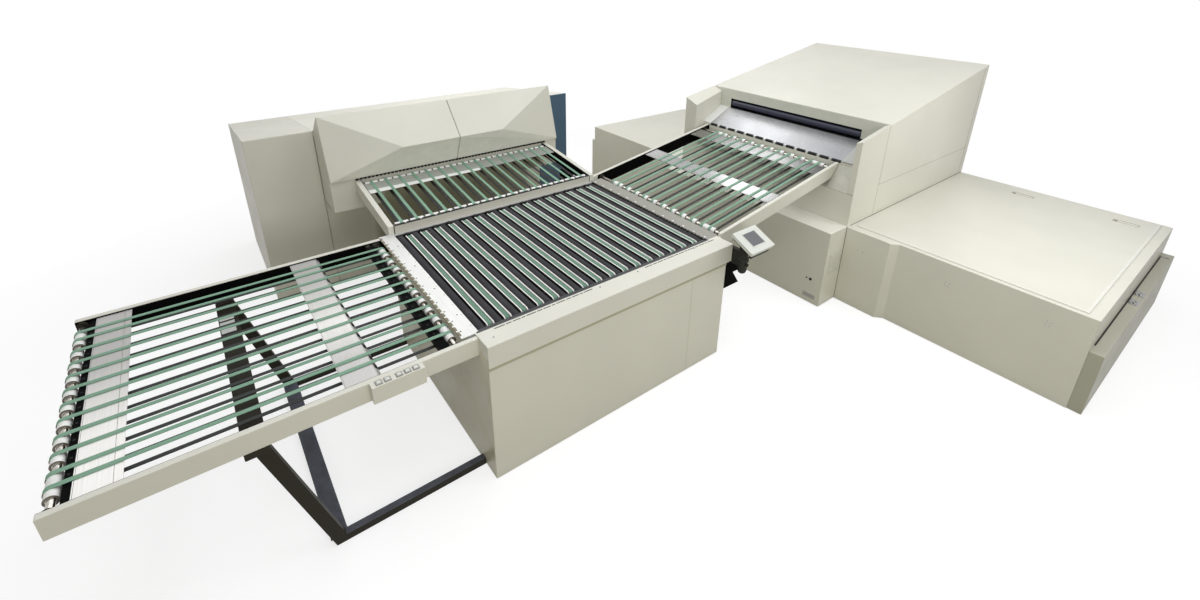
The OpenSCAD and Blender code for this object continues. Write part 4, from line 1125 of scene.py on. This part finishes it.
@piece_of("bolt", "steel_sheet")
def loader_screws(piece):
    """Groups of screws on the front of the loader, and two latches on the drawer ledge."""
    groups = ((-1.677, 0.519), (-2.293, 0.535))
    offsets = ((-0.016, 0.010), (0.010, 0.014), (-0.008, -0.014), (0.014, -0.010))
    y = LOADER_LO.y
    latch_z = LEDGE_Z + 0.004
    barrel = {"r": 0.012, "h": 0.008, "edge": 0.002, "hollow": 0.005}
    for group_y, group_z in groups:
        for dy, dz in offsets:
            piece.disc((LOADER_X, group_y + dy, group_z + dz), TO_LEFT, r=0.0042, h=0.0025, hollow=0.0018)
    for screw_y in (-1.009, -1.052):
        piece.disc((PROC_X, screw_y, 0.522), TO_LEFT, r=0.0045, h=0.0025, hollow=0.002)
    for x in LATCH_X:
        piece.block(about(x, 0.045), near(y, -0.066, -0.012), near(LEDGE_Z, -0.0002, 0.005), edge=0.002)
        piece.block(about(x, 0.036), near(y, -0.024, -0.014), (latch_z, LEDGE_Z + 0.017), edge=0.003)
        piece.disc((x + LATCH_KEY_X, LATCH_KEY_Y, latch_z), UP, **barrel)
        piece.disc((x + 0.020, y - 0.048, latch_z), UP, r=0.007, h=0.006, edge=0.002, hollow=0.003)


@piece_of("dark", "black_paint")
def loader_slot(piece):
    """Dark slot along the drawer ledge, and the keys in the latches."""
    y1 = LOADER_LO.y - 0.001
    slot_x0 = 2.452
    slot_x1 = 4.400
    z = near(LEDGE_Z, -0.0005, 0.001)
    key_z = LEDGE_Z + 0.008
    piece.block((slot_x0, slot_x1), (LOADER_LO.y - 0.010, y1), z, edge=0.0005)
    piece.block((slot_x1 - 0.008, slot_x1), (LOADER_LO.y - 0.060, y1), z, edge=0.0005)
    for x in LATCH_X:
        piece.disc((x + LATCH_KEY_X, LATCH_KEY_Y, key_z), UP, r=0.005, h=0.005, edge=0.001, sides=16)


@piece_of("white", "cream_paint")
def lid_painted_highlights(piece):
    """White strips along the front and the left edge of the lid: painted edge highlights."""
    x = (LID_LO.x + 0.004, LID_HI.x - 0.004)
    top = LID_HI.z
    piece.block(x, near(LID_LO.y, 0.010, 0.015), near(top, -0.001, 0.0012), edge=0.0008)
    piece.block(x, near(LID_LO.y, 0.002, 0.0045), near(top, -0.004, 0.0008), edge=0.0008)
    piece.block(near(LID_LO.x, 0.012, 0.016), (LID_LO.y + 0.010, LID_HI.y - 0.010),
                near(top, -0.001, 0.001), edge=0.0008)


@piece_of("seam", "cream_paint")
def lid_handles(piece):
    """Rims of the two handle recesses, each with a catch."""
    rim = 0.003
    recess_w = 0.048
    recess_run = 0.165
    first_y = LID_HI.y - 0.510
    apart = 0.748
    x0 = LID_HI.x - 0.219
    x1 = x0 + recess_w
    rim_z = near(LID_HI.z, -0.002, 0.0008)
    catch_z = near(LID_HI.z, -0.0042, -0.001)
    for y1 in (first_y, first_y - apart):
        y0 = y1 - recess_run
        piece.block((x0 - rim, x0), (y0 - rim, y1 + rim), rim_z, edge=0.0005)
        piece.block((x1, x1 + rim), (y0 - rim, y1 + rim), rim_z, edge=0.0005)
        piece.block((x0, x1), (y0 - rim, y0), rim_z, edge=0.0005)
        piece.block((x0, x1), (y1, y1 + rim), rim_z, edge=0.0005)
        piece.block((x0 + 0.010, x1 - 0.010), near(y1, -0.024, -0.006), catch_z, edge=0.001)


# operator panel, in the panel's own tilted frame
PANEL_TILT = math.radians(24)
PANEL_FRAME = Matrix.Translation(middle("operator_panel")) @ Matrix.Rotation(PANEL_TILT, 4, "X")
PANEL_FACE = 0.0125


@piece_of("screen", "grey_sheet")
def panel_screen(piece):
    """Display in the middle of the panel."""
    z = (PANEL_FACE, PANEL_FACE + 0.002)
    piece.block((-0.058, 0.062), (-0.048, 0.059), z, edge=0.0008, at=PANEL_FRAME)


@piece_of("cream_plastic", "cream_plastic")
def panel_bezel(piece):
    """Raised rim around the display."""
    x = (-0.066, -0.059, 0.063, 0.070)
    y = (-0.056, -0.049, 0.060, 0.067)
    z = (PANEL_FACE, PANEL_FACE + 0.0035)
    sides = (((x[0], x[3]), y[:2]), ((x[0], x[3]), y[2:]), (x[:2], y[1:3]), (x[2:], y[1:3]))
    for side_x, side_y in sides:
        piece.block(side_x, side_y, z, edge=0.0015, at=PANEL_FRAME)


@piece_of("post", "black_paint")
def panel_back(piece):
    """Back shell of the panel with a dark block under its front edge, and the collar and knob of the post.
    """
    post_x = 1.000
    piece.block((-0.112, 0.092), (-0.094, 0.086), (-0.026, -PANEL_FACE), edge=0.004, at=PANEL_FRAME)
    piece.block((-0.096, 0.085), (-0.095, -0.072), (-0.050, -PANEL_FACE), edge=0.004, at=PANEL_FRAME)
    piece.disc((post_x, -0.845, 0.790), UP, r=0.040, h=0.030, edge=0.006, sides=28)
    piece.disc((post_x, -0.877, 0.770), TO_FRONT, r=0.012, h=0.014, edge=0.003, hollow=0.004)


# floor and light
WHITE = (1, 1, 1, 1)
FLOOR_HALF = 60
FLOOR_Z = -0.002
FLOOR_TINT = (0.30, 0.28, 0.18, 1)
SHADOW_GREY = (0.42, 0.42, 0.42, 1)
SHADOW_GLOW = 0.69
SHADOW_MID = (1.0, 0.3)
SHADOW_REACH = (5.2, 4.4)
WORLD_TINT = (1.0, 0.985, 0.95, 1)
WORLD_STRENGTH = 0.25


def make_floor():
    """Pale floor that keeps the object's shadow and turns white away from it."""
    square = ((-1, -1), (1, -1), (1, 1), (-1, 1))
    mesh = bpy.data.meshes.new("floor")
    mesh.from_pydata([(x * FLOOR_HALF, y * FLOOR_HALF, FLOOR_Z) for x, y in square], [], [(0, 1, 2, 3)])
    floor = bpy.data.objects.new("floor", mesh)
    scene.collection.objects.link(floor)
    look = Look("floor")
    x, y, _ = look.xyz()
    plain = look.fill("ShaderNodeBsdfDiffuse", FLOOR_TINT)
    catch = look.fill("ShaderNodeBsdfDiffuse", SHADOW_GREY)
    glow = look.fill("ShaderNodeEmission", WHITE, SHADOW_GLOW)
    beside = look.fill("ShaderNodeAddShader", catch, glow)
    away = look.fill("ShaderNodeEmission", WHITE, 1.0)
    dist = look.length(look.math("DIVIDE", look.minus(x, SHADOW_MID[0]), SHADOW_REACH[0]),
                       look.math("DIVIDE", look.minus(y, SHADOW_MID[1]), SHADOW_REACH[1]))
    shown = look.pick(look.level(dist, 0.75, 1.15), beside, away)
    look.finish(look.pick(look.seen(), plain, shown))
    mesh.materials.append(LOOKS["floor"])


def make_world():
    """Soft light from all sides, white where it is seen."""
    world = bpy.data.worlds.new("world")
    scene.world = world
    world.use_nodes = True
    nodes = Nodes(world.node_tree)
    light = nodes.fill("ShaderNodeBackground", WORLD_TINT, WORLD_STRENGTH)
    white = nodes.fill("ShaderNodeBackground", WHITE, 1.0)
    nodes.finish(nodes.pick(nodes.seen(), light, white))


def lamp(name, at, look_at, size, power, colour=(1.0, 1.0, 1.0)):
    """Rectangular lamp of a size in metres and a power in watts."""
    data = bpy.data.lights.new(name, "AREA")
    data.shape = "RECTANGLE"
    data.size, data.size_y = size
    data.energy = power
    data.color = colour
    obj = bpy.data.objects.new(name, data)
    obj.location = at
    obj.rotation_euler = (Vector(look_at) - Vector(at)).to_track_quat("-Z", "Y").to_euler()
    obj.visible_camera = False
    scene.collection.objects.link(obj)


make_floor()
make_world()
lamp("overhead", (0.6, 0.2, 5.4), (0.6, 0.2, 0.0), (8.0, 7.0), 240, (0.93, 0.96, 1.0))
lamp("front", (-1.0, -5.0, 2.2), (0.0, -0.77, 0.5), (2.0, 1.5), 64, (1.0, 0.99, 0.97))
lamp("fill", (-4.6, -3.4, 2.4), (0.2, 1.4, 1.0), (3.0, 2.0), 18, (1.0, 0.975, 0.90))
lamp("loader", (3.0, -2.7, 2.5), (3.0, -0.7, 1.1), (2.2, 0.8), 27, (0.98, 0.99, 1.0))
lamp("rear", (0.6, 4.0, 3.6), (3.0, 1.8, 0.6), (1.6, 1.6), 34, (1.0, 1.0, 0.98))
lamp("glint_plate", (4.1, 2.9, 5.2), (2.4, 0.2, 1.2), (1.0, 1.0), 7)
lamp("glint_covers", (6.35, 3.75, 5.2), (1.9, -0.2, 1.0), (1.4, 0.9), 19)
